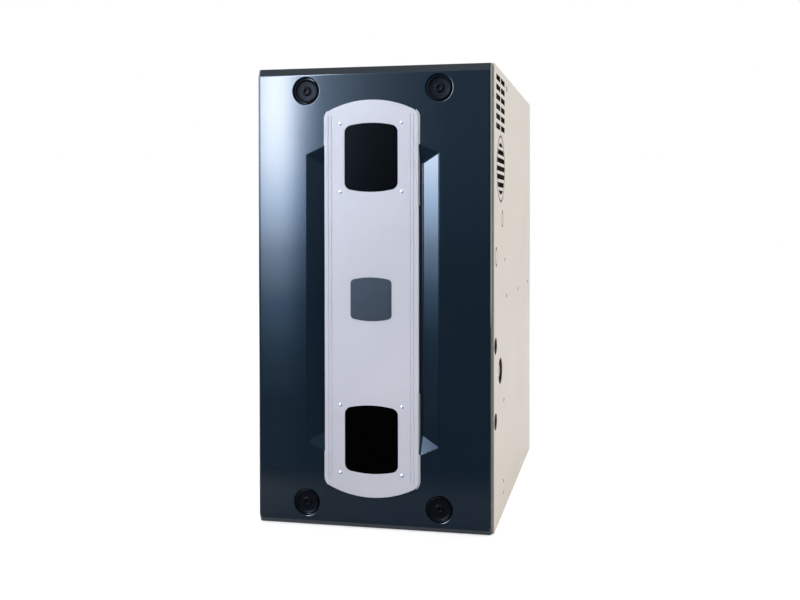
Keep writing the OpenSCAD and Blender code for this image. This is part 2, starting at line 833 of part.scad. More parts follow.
module gas_valve_knob() {
    y0 = valve_y0 - valve_knob_l - seat_gap;
    color("#1f2c52") {
        rod_y([riser_x, y0 + 2, valve_knob_z], valve_knob_r, valve_knob_l - 2);
        rod_y([riser_x, y0 + 2, valve_knob_z], valve_spindle_r, valve_knob_l + valve_spindle_l - 2);
        block([riser_x - 2.5, y0, valve_knob_z - valve_knob_r + 1],
              [riser_x + 2.5, y0 + 3, valve_knob_z + valve_knob_r - 1]);
    }
}

// A probe through the burner box's front: a foot outside and a rod inside.
module probe(x, l, rod_r) {
    block([x - 9, burner_y0 - 6, probe_z - 11], [x + 9, burner_y0, probe_z + 11]);
    rod_y([x, burner_y0 - 1, probe_z], rod_r, l);
}

module igniter() {
    color("#e8e2d2") {
        probe(probe_x, 30, probe_r);
        block([probe_x - 5, burner_y0 + 28, probe_z - 2], [probe_x + 5, burner_y0 + 64, probe_z + 2]);
    }
}

module flame_sensor() {
    color("#d9d9d4") {
        probe(-probe_x, 20, probe_r);
        rod_y([-probe_x, burner_y0 + 18, probe_z], 1.5, 60);
    }
}

rollout_x = burner_box_half_w - 25;
rollout_z = tube_z + 35;
rollout_r = 9;
rollout_l = 12;
button_r = 3.5;
button_out = 4;

module rollout_switches() {
    color("#2a2a2c")
        for (x = [-rollout_x, rollout_x])
            difference() {
                union() {
                    rod_y([x, burner_y0 - rollout_l, rollout_z], rollout_r, rollout_l);
                    block([x - 16, burner_y0 - 1, rollout_z - 6], [x + 16, burner_y0, rollout_z + 6]);
                }
                rod_y([x, burner_y0 - rollout_l - 1, rollout_z], button_r + run_fit, rollout_l - 2);
            }
}

// A reset button in its switch, with room behind it for its travel.
module reset_button(x) {
    color("#c23a2e")
        rod_y([x, burner_y0 - rollout_l - button_out, rollout_z], button_r,
              button_out + rollout_l - 3 - reset_travel - seat_gap);
}

module reset_button_left() {
    reset_button(-rollout_x);
}

module reset_button_right() {
    reset_button(rollout_x);
}

module limit_switch() {
    limit_z = switch_z + 70;
    color("#c9cdd0") {
        rod_y([0, y_vest - 3, limit_z], 20, 3);
        rod_y([0, y_vest - 14, limit_z], 11, 12);
        block([-6, y_vest - 20, limit_z - 1.5], [6, y_vest - 13, limit_z + 1.5]);
    }
}

switch_r = 32;
switch_x = [-collector_half_w + 37, fan_x - inducer_r - 20];
switch_z = collector_z1 + switch_r + 20;
bracket_t = 2;
switch_y0 = y_vest - bracket_t - 24;

module pressure_switches() {
    color("#c4a15a") {
        block([switch_x[0] - 38, y_vest - bracket_t, switch_z - 40],
              [switch_x[1] + 38, y_vest, switch_z + 40]);
        for (x = switch_x) {
            rod_y([x, switch_y0 + 8, switch_z], switch_r, 16);
            rod_y([x, switch_y0 + 3, switch_z], switch_r - 6, 6);
            rod_y([x, switch_y0, switch_z], 6, 4);
        }
    }
}

tube_hose_r = 4;
hose_bend = 14;

// Two pressure hoses, one to the collector box and one to the inducer housing.
module pressure_hoses() {
    y = y_vest - collector_d - hose_bend - 6;
    drop = 78;
    low_z = switch_z - drop;
    color("#b23a30") {
        for (x = switch_x) {
            rod_y([x, y + hose_bend, switch_z], tube_hose_r, switch_y0 - y - hose_bend);
            translate([x, y + hose_bend, switch_z - hose_bend])
                rotate([90, 0, 90])
                    rotate([0, 0, 90])
                        bend(hose_bend, tube_hose_r);
        }
        rod_z([switch_x[0], y, low_z + hose_bend], tube_hose_r, drop - 2 * hose_bend);
        translate([switch_x[0], y + hose_bend, low_z + hose_bend])
            rotate([90, 0, 90])
                rotate([0, 0, 180])
                    bend(hose_bend, tube_hose_r);
        rod_y([switch_x[0], y + hose_bend, low_z], tube_hose_r, y_vest - collector_d - y - hose_bend);
        rod_z([switch_x[1], y, fan_z + hose_bend], tube_hose_r, switch_z - fan_z - 2 * hose_bend);
        translate([switch_x[1] + hose_bend, y, fan_z + hose_bend])
            rotate([90, 0, 0])
                rotate([0, 0, 180])
                    bend(hose_bend, tube_hose_r);
        rod_x([switch_x[1] + hose_bend, y, fan_z], tube_hose_r,
              fan_x - inducer_r - switch_x[1] - hose_bend);
    }
}

// ---------- controls ----------

door_back = y_cab - seat_gap;
switch_box_l = 22;
plunger_r = 3;
plunger_y = door_back + seat_gap;
switch_front = y_cab + 8;
door_switch_z = deck_z + sheet_t + 16;

// Switch on its foot on the blower deck, behind the door.
module door_switch() {
    bore_l = 18;
    color("#202224")
        difference() {
            union() {
                block([-16, switch_front, deck_z + sheet_t],
                      [16, switch_front + switch_box_l, door_switch_z + 12]);
                block([-24, switch_front, deck_z + sheet_t],
                      [24, switch_front + switch_box_l + 8, deck_z + 3]);
            }
            rod_y([0, switch_front - 1, door_switch_z], plunger_r + run_fit, bore_l);
        }
}

module door_switch_plunger() {
    color("#e6e6e2")
        rod_y([0, plunger_y, door_switch_z], plunger_r, switch_front - plunger_y + 16 - switch_travel);
}

tray_y = y_cab + 121;
tray_x0 = -inner_half_w + 37.5;
board_x1 = tray_x0 + 140;
tray_x1 = board_x1 + 74;
tray_z0 = deck_z - 178;
board_y = tray_y - 6;

// Sheet tray that hangs from the blower deck and carries the controls.
module control_panel() {
    foot = 26;
    color("#bfc3c6") {
        block([tray_x0, tray_y, tray_z0], [tray_x1, tray_y + sheet_t, deck_z]);
        block([tray_x0, tray_y, deck_z - sheet_t], [tray_x1, tray_y + foot, deck_z]);
        block([tray_x0, tray_y, tray_z0], [tray_x1, tray_y + 14, tray_z0 + sheet_t]);
    }
}

// Printed board on four posts with its relays and connectors.
module control_board() {
    x0 = tray_x0 + 6;
    z0 = tray_z0 + 22;
    z1 = deck_z - 26;
    t = 1.6;
    color("#2f6b46") {
        block([x0, board_y - t, z0], [board_x1, board_y, z1]);
        for (x = [x0 + 8, board_x1 - 8], z = [z0 + 8, z1 - 8])
            rod_y([x, board_y, z], 3, tray_y - board_y);
        for (i = [0 : 2])
            block([board_x1 - 34, board_y - t - 16, z0 + 16 + i * 34],
                  [board_x1 - 14, board_y - t, z0 + 40 + i * 34]);
        block([x0 + 2, board_y - t - 12, z1 - 70], [x0 + 12, board_y - t, z1 - 20]);
        block([x0 + 30, board_y - t - 4, z0 + 50], [x0 + 52, board_y - t, z0 + 72]);
        for (i = [0 : 3])
            rod_y([x0 + 26 + i * 14, board_y - t - 14, z0 + 20], 5, 14);
    }
}

module transformer() {
    x0 = board_x1 + 12;
    x1 = x0 + 54;
    edge = 12;
    core_h = 70;
    z0 = deck_z - core_h - 30;
    color("#6b4a2a") {
        block([x0, tray_y - 34, z0 + 10], [x1, tray_y, z0 + core_h - 10]);
        block([x0 + edge, tray_y - 44, z0], [x1 - edge, tray_y - 2, z0 + core_h]);
    }
}

// Covered box around the conduit hole on the left side.
module junction_box() {
    box_x = 62;
    wall = 1.2;
    z0 = conduit_z - 24;
    z1 = conduit_z + 24;
    y1 = y_cab + 44;
    color("#b4b8ba")
        difference() {
            block([-inner_half_w, y_lip, z0], [-inner_half_w + box_x, y1, z1]);
            block([-inner_half_w - 1, y_lip + wall, z0 + wall],
                  [-inner_half_w + box_x - wall, y1 - wall, z1 - wall]);
        }
}

// Main loom: from the board up through the deck and across to the burner box.
module wiring_harness() {
    r = 14;
    low_z = deck_z - 70;
    high_z = tube_z - 30;
    color("#222326") {
        rod_x([loom_x + r, loom_y, low_z], loom_r, tray_x0 + 8 - loom_x - r);
        translate([loom_x + r, loom_y, low_z + r])
            rotate([90, 0, 0])
                rotate([0, 0, 180])
                    bend(r, loom_r);
        rod_z([loom_x, loom_y, low_z + r], loom_r, high_z - low_z - 2 * r);
        translate([loom_x + r, loom_y, high_z - r])
            rotate([90, 0, 0])
                rotate([0, 0, 90])
                    bend(r, loom_r);
        rod_x([loom_x + r, loom_y, high_z], loom_r, -burner_box_half_w - loom_x - r);
    }
}

// ---------- blower ----------

scroll_a0 = 94;
scroll_step = 7;
function scroll_point(a, e) =
    let (r = scroll_r0 + e + scroll_grow * (a - scroll_a0) / (360 - scroll_a0))
    [blower_y + r * cos(a), blower_z + r * sin(a)];

// Outline of the housing in Y and Z, grown by e, open at the top where it meets the deck.
function scroll_outline(e, top) = concat(
    [[outlet_y0 - e, top]],
    [for (i = [0 : 38]) scroll_point(scroll_a0 + scroll_step * i, e)],
    [[outlet_y1 + e, top]]);
outlet_y0 = blower_y + scroll_r0 * cos(scroll_a0);

// A profile drawn in Y and Z, pushed along +X.
module push_x(x, l) {
    translate([x, 0, 0])
        rotate([90, 0, 90])
            linear_extrude(height = l)
                children();
}

// Side plates of the housing with their rolled inlet rings and mounting flanges.
module blower_sides() {
    ring_r = 7;
    seam = 3;
    flange = 14;
    x1 = blower_w / 2;
    color("#a7abad")
        for (side = [0, 1])
            mirror([side, 0, 0]) {
                difference() {
                    push_x(x1 - scroll_t, scroll_t)
                        polygon(scroll_outline(scroll_t, deck_z));
                    rod_x([x1 - scroll_t - 1, blower_y, blower_z], inlet_r + ring_r + seam, scroll_t + 2);
                }
                translate([x1, blower_y, blower_z])
                    rotate([0, -90, 0])
                        rotate_extrude() {
                            intersection() {
                                translate([inlet_r + ring_r, ring_r])
                                    difference() {
                                        circle(r = ring_r);
                                        circle(r = ring_r - scroll_t);
                                    }
                                translate([inlet_r, 0])
                                    square(ring_r);
                            }
                            translate([inlet_r + ring_r - 0.5, 0])
                                square([seam + 1, scroll_t]);
                        }
                block([x1, outlet_y0 + 4, deck_z - scroll_t], [x1 + flange, outlet_y1 - 4, deck_z]);
            }
}

module blower_scroll() {
    half = blower_w / 2 - scroll_t;
    color("#a7abad")
        push_x(-half, 2 * half)
            difference() {
                polygon(scroll_outline(scroll_t, deck_z));
                polygon(scroll_outline(0, deck_z + 1));
            }
}

hub_x = 6;
hub_r = 18;
hub_l = 34;

// One forward-curved blade, drawn in Y and Z.
module blade() {
    blade_d = 22;
    r0 = wheel_r - blade_d;
    r1 = wheel_r - 1;
    steps = 5;
    half_a = 0.3;
    function lean(t) = 9 * t * t;
    function at(t, d) = let (r = r0 + (r1 - r0) * t, a = lean(t) + d) [r * cos(a), r * sin(a)];
    polygon(concat([for (i = [0 : steps]) at(i / steps, half_a)],
                   [for (i = [steps : -1 : 0]) at(i / steps, -half_a)]));
}

// Double-inlet wheel: two rims, curved blades, and a disc with its hub in the middle.
module blower_wheel() {
    rim = 4;
    color("#8d9296")
        translate([0, blower_y, blower_z]) {
            for (x = [-wheel_l / 2, wheel_l / 2 - rim])
                difference() {
                    rod_x([x, 0, 0], wheel_r, rim);
                    rod_x([x - 1, 0, 0], wheel_r - 6, rim + 2);
                }
            for (i = [0 : wheel_blades - 1])
                rotate([i * 360 / wheel_blades, 0, 0])
                    push_x(-wheel_l / 2 + 1, wheel_l - 2)
                        blade();
            difference() {
                union() {
                    rod_x([hub_x, 0, 0], wheel_r - 6, 2);
                    rod_x([hub_x, 0, 0], hub_r, hub_l);
                }
                rod_x([hub_x - 1, 0, 0], shaft_r + eps, hub_l + 2);
                for (i = [0 : 5])
                    rotate([i * 60, 0, 0])
                        rod_x([hub_x - 1, 0.45 * wheel_r, 0], 16, 4);
            }
        }
}

motor_x1 = hub_x - 12;
motor_x0 = motor_x1 - motor_l;
shaft_bore_l = 34;

module blower_shaft() {
    color("#c8ccd0")
        rod_x([motor_x1 - shaft_bore_l + 2, blower_y, blower_z], shaft_r,
              hub_x + hub_l + 10 - motor_x1 + shaft_bore_l);
}

module blower_motor() {
    vents = 12;
    color("#45494d")
        translate([0, blower_y, blower_z])
            difference() {
                union() {
                    rod_x([motor_x0 + 8, 0, 0], motor_r, motor_l - 16);
                    rod_x([motor_x0, 0, 0], motor_r - 10, motor_l);
                }
                rod_x([motor_x1 - shaft_bore_l, 0, 0], shaft_r + run_fit, shaft_bore_l + 1);
                for (i = [0 : vents - 1])
                    rotate([i * 360 / vents, 0, 0])
                        block([motor_x0 - 1, motor_r - 26, -4], [motor_x0 + 5, motor_r - 13, 4]);
            }
}

// Belly band around the motor with three arms to the housing's left side.
module motor_mount() {
    band_t = 3;
    arm_t = 4;
    arm_w = 16;
    x1 = -blower_w / 2;
    arms = 3;
    color("#9da1a3")
        translate([0, blower_y, blower_z])
            difference() {
                union() {
                    rod_x([x1 - arm_t, 0, 0], motor_r + band_t, arm_t + 30);
                    for (i = [0 : arms - 1])
                        rotate([90 + i * 360 / arms, 0, 0])
                            block([x1 - arm_t, motor_r, -arm_w / 2], [x1, inlet_r + 26, arm_w / 2]);
                }
                rod_x([x1 - arm_t - 1, 0, 0], motor_r + eps, arm_t + 32);
            }
}

// Rails under the deck that the housing's flanges slide on.
module blower_rails() {
    flange = 14;
    x1 = blower_w / 2 + flange + 0.3;
    y0 = outlet_y0 - 60;
    y1 = outlet_y1 + 20;
    z0 = deck_z - scroll_t - 0.2;
    lip = 10;
    color("#bfc3c6")
        for (side = [0, 1])
            mirror([side, 0, 0]) {
                block([x1, y0, z0 - sheet_t], [x1 + sheet_t, y1, deck_z]);
                block([x1 - lip, y0, z0 - sheet_t], [x1 + sheet_t, y1, z0]);
            }
}

// ---------- condensate ----------

trap_x0 = hose_x - 26;
trap_x1 = inner_half_w - 35.5;
trap_y0 = hose_y - 25;
trap_y1 = drain_y + 19;
trap_z0 = drain_z - 47;
trap_z1 = drain_z + 58;
drain_stub_r = 13;
stub_l = 12;

// Moulded trap with an inlet stub on top, a drain stub to the right, and ears on the side panel.
module condensate_trap() {
    wall = 2.5;
    ear_t = 5;
    color("#d9dadb")
        difference() {
            union() {
                block([trap_x0, trap_y0, trap_z0], [trap_x1, trap_y1, trap_z1]);
                rod_z([hose_x, hose_y, trap_z1 - 1], hose_r - 2, stub_l + 1);
                rod_x([trap_x1 - 1, drain_y, drain_z], drain_stub_r, inner_half_w - trap_x1 - 1);
                block([trap_x1 - 1, trap_y0, trap_z0], [inner_half_w, trap_y0 + ear_t, trap_z1]);
            }
            block([trap_x0 + wall, trap_y0 + wall, trap_z0 + wall],
                  [trap_x1 - wall, trap_y1 - wall, trap_z1 - wall]);
            rod_z([hose_x, hose_y, trap_z1 - wall - 1], hose_r - 4, stub_l + wall + 3);
            rod_x([trap_x1 - wall - 1, drain_y, drain_z], drain_stub_r - wall,
                  inner_half_w - trap_x1 + wall + 2);
        }
}

// Drain hose from the collector box, forwards and down through the deck to the trap.
module drain_path(r, more) {
    y0 = y_vest - collector_d / 2;
    z0 = collector_z0 - 2;
    z1 = deck_z + 0.4 * (z0 - deck_z);
    b = 20;
    rod_z([hose_x, y0, z1 + b], r, z0 - z1 - b + more);
    translate([hose_x, y0 - b, z1 + b])
        rotate([90, 0, 90])
            rotate([0, 0, -90])
                bend(b, r);
    rod_y([hose_x, hose_y + b, z1], r, y0 - hose_y - 2 * b);
    translate([hose_x, hose_y + b, z1 - b])
        rotate([90, 0, 90])
            rotate([0, 0, 90])
                bend(b, r);
    rod_z([hose_x, hose_y, trap_z1 + 2 - more], r, z1 - b - trap_z1 - 2 + more);
}

module drain_hoses() {
    color("#3a3c3e")
        difference() {
            drain_path(hose_r, 0);
            drain_path(hose_r - 2 + eps, 1);
        }
}

// ---------- door ----------

door_z0 = door_edge_gap;
door_z1 = cab_h - door_edge_gap;
pan_lip = 12;
latch_z = [door_z0 + latch_edge, door_z1 - latch_edge];
window_z = [window_low_z, window_top_z];
sleeve_t = 5;
sleeve_gap = 0.3;

// The pan's outer body, drawn in by e and reaching more beyond its back.
module pan_body(e, more) {
    y0 = y_door + e;
    y1 = y_pan_back + more;
    roll = door_roll_r - e;
    x1 = door_half_w - e;
    intersection() {
        push_x(-half_w, cab_w)
            polygon([[y1, door_z0 + e], [y0 + door_bevel_d, door_z0 + e], [y0, door_z0 + door_bevel_h],
                     [y0, door_z1 - door_bevel_h], [y0 + door_bevel_d, door_z1 - e], [y1, door_z1 - e]]);
        linear_extrude(height = cab_h)
            union() {
                for (x = [-x1 + roll, x1 - roll])
                    translate([x, y0 + roll])
                        circle(r = roll);
                translate([-x1 + roll, y0])
                    square([2 * (x1 - roll), y1 - y0]);
                translate([-x1, y0 + roll])
                    square([2 * x1, y1 - y0 - roll]);
            }
    }
}

// The scoop as a solid: six-sided at the door's face, four-sided at its floor, grown by e.
module scoop_body(e) {
    shoulder = 18;
    tip_half_w = trim_w / 2 + 2;
    slope_h = 40;
    skin = 0.05;
    floor_half_w = scoop_floor_half_w + e;
    floor_z0 = scoop_low_z + slope_h - e;
    floor_z1 = scoop_top_z - slope_h + e;
    hull() {
        upright(y_door - skin, skin)
            polygon([[-scoop_half_w - e, scoop_low_z + shoulder], [-tip_half_w, scoop_low_z - e],
                     [tip_half_w, scoop_low_z - e], [scoop_half_w + e, scoop_low_z + shoulder],
                     [scoop_half_w + e, scoop_top_z - shoulder], [tip_half_w, scoop_top_z + e],
                     [-tip_half_w, scoop_top_z + e], [-scoop_half_w - e, scoop_top_z - shoulder]]);
        upright(y_door + scoop_depth + e - skin, skin)
            polygon([[-floor_half_w, floor_z0], [floor_half_w, floor_z0],
                     [floor_half_w, floor_z1], [-floor_half_w, floor_z1]]);
    }
}

// A window's sleeve hole through the door, with clearance.
module window_holes(grow) {
    for (z = window_z)
        arched_plate(y_door - 1, cab_d, z, window_w + 2 * (sleeve_t + grow),
                     window_h + 2 * (sleeve_t + grow), window_rise, 14);
}

// Pressed steel pan with its rolled edges, latch cups and rear lip, and at a fine seam the scoop's tray.
module door_panel() {
    cup_t = sheet_t;
    color("#1f2b34") {
        difference() {
            union() {
                difference() {
                    pan_body(0, 0);
                    pan_body(sheet_t, 1);
                }
                difference() {
                    block([-door_half_w + sheet_t, y_pan_back - sheet_t, door_z0 + sheet_t],
                          [door_half_w - sheet_t, y_pan_back, door_z1 - sheet_t]);
                    block([-door_half_w + pan_lip, y_pan_back - 2, door_z0 + pan_lip],
                          [door_half_w - pan_lip, y_pan_back + 1, door_z1 - pan_lip]);
                }
                for (x = [-latch_x, latch_x], z = latch_z)
                    rod_y([x, y_door + sheet_t / 2, z], cup_r + cup_t, cup_depth + cup_t - sheet_t / 2);
            }
            scoop_body(sheet_t + seam_gap);
            window_holes(sleeve_gap);
            for (x = [-latch_x, latch_x], z = latch_z) {
                rod_y([x, y_door - 1, z], cup_r, cup_depth + 1);
                rod_y([x, y_door, z], spindle_r + run_fit, cup_depth + cup_t + 1);
            }
        }
        difference() {
            intersection() {
                scoop_body(sheet_t);
                block([-half_w, y_door, 0], [half_w, y_pan_back + 5, cab_h]);
            }
            scoop_body(0);
            window_holes(sleeve_gap);
        }
    }
}

// Four glass-fibre boards behind the pan, around the scoop, with room for the windows.
module door_insulation() {
    half = half_w - front_flange_w - 12;
    end = latch_edge + cup_r + 14;
    side_x = scoop_half_w + sheet_t + 1;
    corner_gap = 0.2;
    y0 = y_door + sheet_t + corner_gap;
    z0 = door_z0 + end;
    z1 = door_z1 - end;
    color("#c9c3a6") {
        for (side = [0, 1])
            mirror([side, 0, 0])
                block([side_x, y0, z0], [half, door_back, z1]);
        difference() {
            union() {
                block([-side_x + corner_gap, y0, z0],
                      [side_x - corner_gap, door_back, scoop_low_z - sheet_t - 1]);
                block([-side_x + corner_gap, y0, scoop_top_z + sheet_t + 1],
                      [side_x - corner_gap, door_back, z1]);
            }
            window_holes(2 * sleeve_gap);
        }
    }
}

// Foam strips between the door and the cabinet.
module door_gasket() {
    w = 14;
    edge = 3;
    x1 = door_half_w - edge;
    y1 = y_pan_back + gasket_t;
    corner_gap = 0.2;
    color("#1b1c1e") {
        block([-x1, y_pan_back, door_z0 + 1], [x1, y1, door_z0 + 1 + w]);
        block([-x1, y_pan_back, door_z1 - 1 - w], [x1, y1, door_z1 - 1]);
        for (x = [-x1, x1 - w])
            block([x, y_pan_back, door_z0 + 1 + w + corner_gap], [x + w, y1, door_z1 - 1 - w - corner_gap]);
    }
}

trim_face = y_door - trim_proud;
trim_z = (trim_low_z + trim_top_z) / 2;
trim_h = trim_top_z - trim_low_z;
trim_corner_r = 12;
groove_x = [96, 89];
groove_w = 2.4;
groove_d = 0.8;
window_corner_r = 12;

// Silver strip, and at a fine seam behind it two rims with their side walls down into the scoop.
// Between the rims a finger gap is open on each side.
module trim_strip() {
    groove_end = 40;
    groove_h = trim_h - 2 * (trim_rise + groove_end / 2);
    finger_z0 = trim_z - finger_half_h;
    finger_z1 = trim_z + finger_half_h;
    rim_y = trim_face + trim_t + seam_gap;
    color("#c5c6d2") {
        difference() {
            arched_plate(trim_face, trim_t, trim_z, trim_w, trim_h, trim_rise, trim_corner_r);
            for (z = window_z)
                arched_plate(trim_face - 1, trim_t + 2, z, window_w, window_h, window_rise,
                             window_corner_r);
            for (side = [-1, 1], x = groove_x)
                block([side * x - groove_w / 2, trim_face - 1, trim_z - groove_h / 2],
                      [side * x + groove_w / 2, trim_face + groove_d, trim_z + groove_h / 2]);
        }
        difference() {
            union() {
                arched_plate(rim_y, y_door - rim_y, trim_z, trim_w, trim_h, trim_rise, trim_corner_r);
                for (side = [-1, 1])
                    intersection() {
                        scoop_body(0);
                        block([side * trim_w / 2 - (side + 1) / 2 * trim_t, y_door - 1, 0],
                              [side * trim_w / 2 - (side - 1) / 2 * trim_t, y_door + cab_d, cab_h]);
                    }
            }
            arched_plate(rim_y - 1, trim_proud, trim_z, trim_w - 2 * trim_t, trim_h - 2 * trim_t,
                         trim_rise, trim_corner_r - trim_t);
            block([-trim_w, rim_y - 1, finger_z0], [trim_w, y_door + cab_d, finger_z1]);
        }
    }
}

// Smoked window: a pane behind the strip and a sleeve back through the door.
module window(z) {
    y0 = trim_face + trim_t;
    grow = 2 * sleeve_t;
    color("#15161a")
        difference() {
            arched_plate(y0, door_back - y0, z, window_w + grow, window_h + grow, window_rise, 14);
            arched_plate(y0 + pane_t, cab_d, z, window_w, window_h, window_rise, window_corner_r);
        }
}

module upper_window() {
    window(window_top_z);
}

module lower_window() {
    window(window_low_z);
}

module badge_plate() {
    color("#434c57")
        arched_plate(trim_face - badge_t, badge_t, trim_z, badge_w, badge_h, 6, 7);
}

trim_screw_x = 69.5;
trim_screw_dz = 74.5;

// Eight small pan-head screws around the two windows.
module trim_screws() {
    color("#e3e4ea")
        for (zc = window_z, x = [-trim_screw_x, trim_screw_x], dz = [-trim_screw_dz, trim_screw_dz])
            difference() {
                rod_y([x, y_front, zc + dz], trim_screw_r, trim_screw_h);
                block([x - 2.5, y_front - 1, zc + dz - 0.4], [x + 2.5, y_front + 0.8, zc + dz + 0.4]);
                block([x - 0.4, y_front - 1, zc + dz - 2.5], [x + 0.4, y_front + 0.8, zc + dz + 2.5]);
            }
}

cam_y = y_lip + 0.5;
knob_y0 = y_door + 1;

// One latch at rest, turned open, with its cam towards the middle of the door.
module latch(x, z) {
    knob_back = y_door + cup_depth - 0.3;
    knob_l = knob_back - knob_y0;
    dish = 3;
    hub_r = 9;
    socket_r = 4;
    side = x > 0 ? -1 : 1;
    color("#15171b")
        translate([x, 0, z]) {
            difference() {
                rod_y([0, knob_y0, 0], knob_r, knob_l);
                difference() {
                    rod_y([0, knob_y0 - 1, 0], knob_r - 3, dish + 1);
                    rod_y([0, knob_y0 - 2, 0], hub_r, dish + 3);
                }
                rod_y([0, knob_y0 - 1, 0], socket_r, 5);
            }
            rod_y([0, knob_back - 0.5, 0], spindle_r, cam_y + cam_t - knob_back + 0.5);
            rod_y([0, cam_y, 0], cam_w / 2, cam_t);
            mirror([side < 0 ? 1 : 0, 0, 0])
                block([0, cam_y, -cam_w / 2], [cam_l, cam_y + cam_t, cam_w / 2]);
        }
}

module latch_top_left() {
    latch(-latch_x, latch_z[1]);
}

module latch_top_right() {
    latch(latch_x, latch_z[1]);
}

module latch_bottom_left() {
    latch(-latch_x, latch_z[0]);
}

module latch_bottom_right() {
    latch(latch_x, latch_z[0]);
}

left_side_panel();
right_side_panel();
back_panel();
top_front_plate();
duct_flanges();
base_frame();
blower_deck();
vestibule_panel();
insulation_liner();
primary_heat_exchanger();
transition_box();
secondary_coil();
collector_box();
inducer_housing();
inducer_motor();
inducer_wheel();
vent_pipe();
intake_pipe();
burner_box();
burners();
gas_manifold();
gas_valve();
gas_valve_knob();
igniter();
flame_sensor();
rollout_switches();
reset_button_left();
reset_button_right();
limit_switch();
pressure_switches();
pressure_hoses();
door_switch();
door_switch_plunger();
control_panel();
control_board();
transformer();
junction_box();
wiring_harness();
blower_sides();
blower_scroll();
blower_wheel();
blower_shaft();
blower_motor();
motor_mount();
blower_rails();
condensate_trap();
drain_hoses();
door_panel();
door_insulation();
door_gasket();
trim_strip();
upper_window();
lower_window();
badge_plate();
trim_screws();
latch_top_left();
latch_top_right();
latch_bottom_left();
latch_bottom_right();
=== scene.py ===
import math
import bmesh
import bpy
from mathutils import Matrix, Vector


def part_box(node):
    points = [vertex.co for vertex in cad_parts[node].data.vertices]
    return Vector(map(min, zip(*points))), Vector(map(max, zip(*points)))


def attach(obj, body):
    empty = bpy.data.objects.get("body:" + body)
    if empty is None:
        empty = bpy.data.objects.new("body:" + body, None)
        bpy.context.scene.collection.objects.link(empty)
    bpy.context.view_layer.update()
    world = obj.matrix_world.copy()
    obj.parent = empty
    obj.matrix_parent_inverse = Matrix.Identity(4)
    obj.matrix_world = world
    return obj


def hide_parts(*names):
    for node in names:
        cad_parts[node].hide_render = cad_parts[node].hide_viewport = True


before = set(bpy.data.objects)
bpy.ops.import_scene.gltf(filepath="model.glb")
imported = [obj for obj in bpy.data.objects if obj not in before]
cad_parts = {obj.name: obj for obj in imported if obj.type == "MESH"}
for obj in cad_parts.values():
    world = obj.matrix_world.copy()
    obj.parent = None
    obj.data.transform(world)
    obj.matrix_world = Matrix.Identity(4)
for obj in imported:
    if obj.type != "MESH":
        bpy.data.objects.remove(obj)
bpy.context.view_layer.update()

# ---------------------------------------------------------------- studio
# A plain photographer's studio: a wide pale floor, a white surround, soft lamps and a camera.
# Cards that only reflections see stand around it, so that the glossy door mirrors what it did in
# the photograph.


def colour(text, alpha=1.0):
    """A hex sRGB colour as the linear numbers that shaders take."""
    parts = [int(text[i:i + 2], 16) / 255 for i in (1, 3, 5)]
    return [p / 12.92 if p <= 0.04045 else ((p + 0.055) / 1.055) ** 2.4 for p in parts] + [alpha]


def add(tree, kind, inputs=None, **settings):
    """Adds one shader node, sets what it is given, and links the inputs that are sockets."""
    n = tree.nodes.new("ShaderNode" + kind)
    for name, value in settings.items():
        setattr(n, name, value)
    for name, value in (inputs or {}).items():
        if isinstance(value, bpy.types.NodeSocket):
            tree.links.new(value, n.inputs[name])
        else:
            n.inputs[name].default_value = value
    return n


def seen_directly(tree):
    """1 for rays from the camera and those that metal or glass sends on, 0 for light on the object."""
    path = add(tree, "LightPath")
    shiny = add(tree, "Math",
                {0: path.outputs["Is Glossy Ray"], 1: path.outputs["Is Transmission Ray"]},
                operation="MAXIMUM")
    return add(tree, "Math", {0: path.outputs["Is Camera Ray"], 1: shiny.outputs[0]},
               operation="MAXIMUM").outputs[0]


scene = bpy.context.scene
scene.view_settings.view_transform = "Standard"

world = bpy.data.worlds.new("studio")
world.use_nodes = True
scene.world = world
tree = world.node_tree
tree.nodes.clear()
light = add(tree, "Background", {"Color": colour("#f4f6fa"), "Strength": 0.61})
white = add(tree, "Background", {"Color": (1, 1, 1, 1), "Strength": 1.0})
mix = add(tree, "MixShader", {0: seen_directly(tree), 1: light.outputs[0], 2: white.outputs[0]})
add(tree, "OutputWorld", {"Surface": mix.outputs[0]})

bm = bmesh.new()
bmesh.ops.create_grid(bm, x_segments=1, y_segments=1, size=14)
mesh = bpy.data.meshes.new("studio_floor")
bm.to_mesh(mesh)
bm.free()
floor = bpy.data.objects.new("studio_floor", mesh)
scene.collection.objects.link(floor)
floor_paint = bpy.data.materials.new("floor_paint")
floor_paint.use_nodes = True
tree = floor_paint.node_tree
tree.nodes.clear()
matt = add(tree, "BsdfDiffuse", {"Color": colour("#dcdcdc")})
lift = add(tree, "Math", {0: seen_directly(tree), 1: 0.60}, operation="MULTIPLY")
glow = add(tree, "Emission", {"Color": (1, 1, 1, 1), "Strength": lift.outputs[0]})
both = add(tree, "AddShader", {0: matt.outputs[0], 1: glow.outputs[0]})
add(tree, "OutputMaterial", {"Surface": both.outputs[0]})
floor.data.materials.append(floor_paint)


def lamp(name, place, target, size, power, tint):
    """A soft square lamp at one place, turned to another."""
    data = bpy.data.lights.new(name, "AREA")
    data.shape = "RECTANGLE"
    data.size, data.size_y = size
    data.energy = power
    data.color = colour(tint)[:3]
    lit = bpy.data.objects.new(name, data)
    lit.location = place
    lit.rotation_euler = (Vector(target) - Vector(place)).to_track_quat("-Z", "Y").to_euler()
    scene.collection.objects.link(lit)
    lit.visible_glossy = False


lamp("key_lamp", (-1.9, -3.2, 2.6), (0, -0.2, 0.55), (1.6, 1.6), 47, "#f7f8ff")
lamp("side_lamp", (3.4, -1.5, 1.9), (0.1, 0, 0.5), (1.8, 1.8), 26, "#fff4e6")
lamp("rear_lamp", (-1.5, 3.2, 2.6), (0, 0.2, 0.5), (2.0, 2.0), 40, "#ffffff")


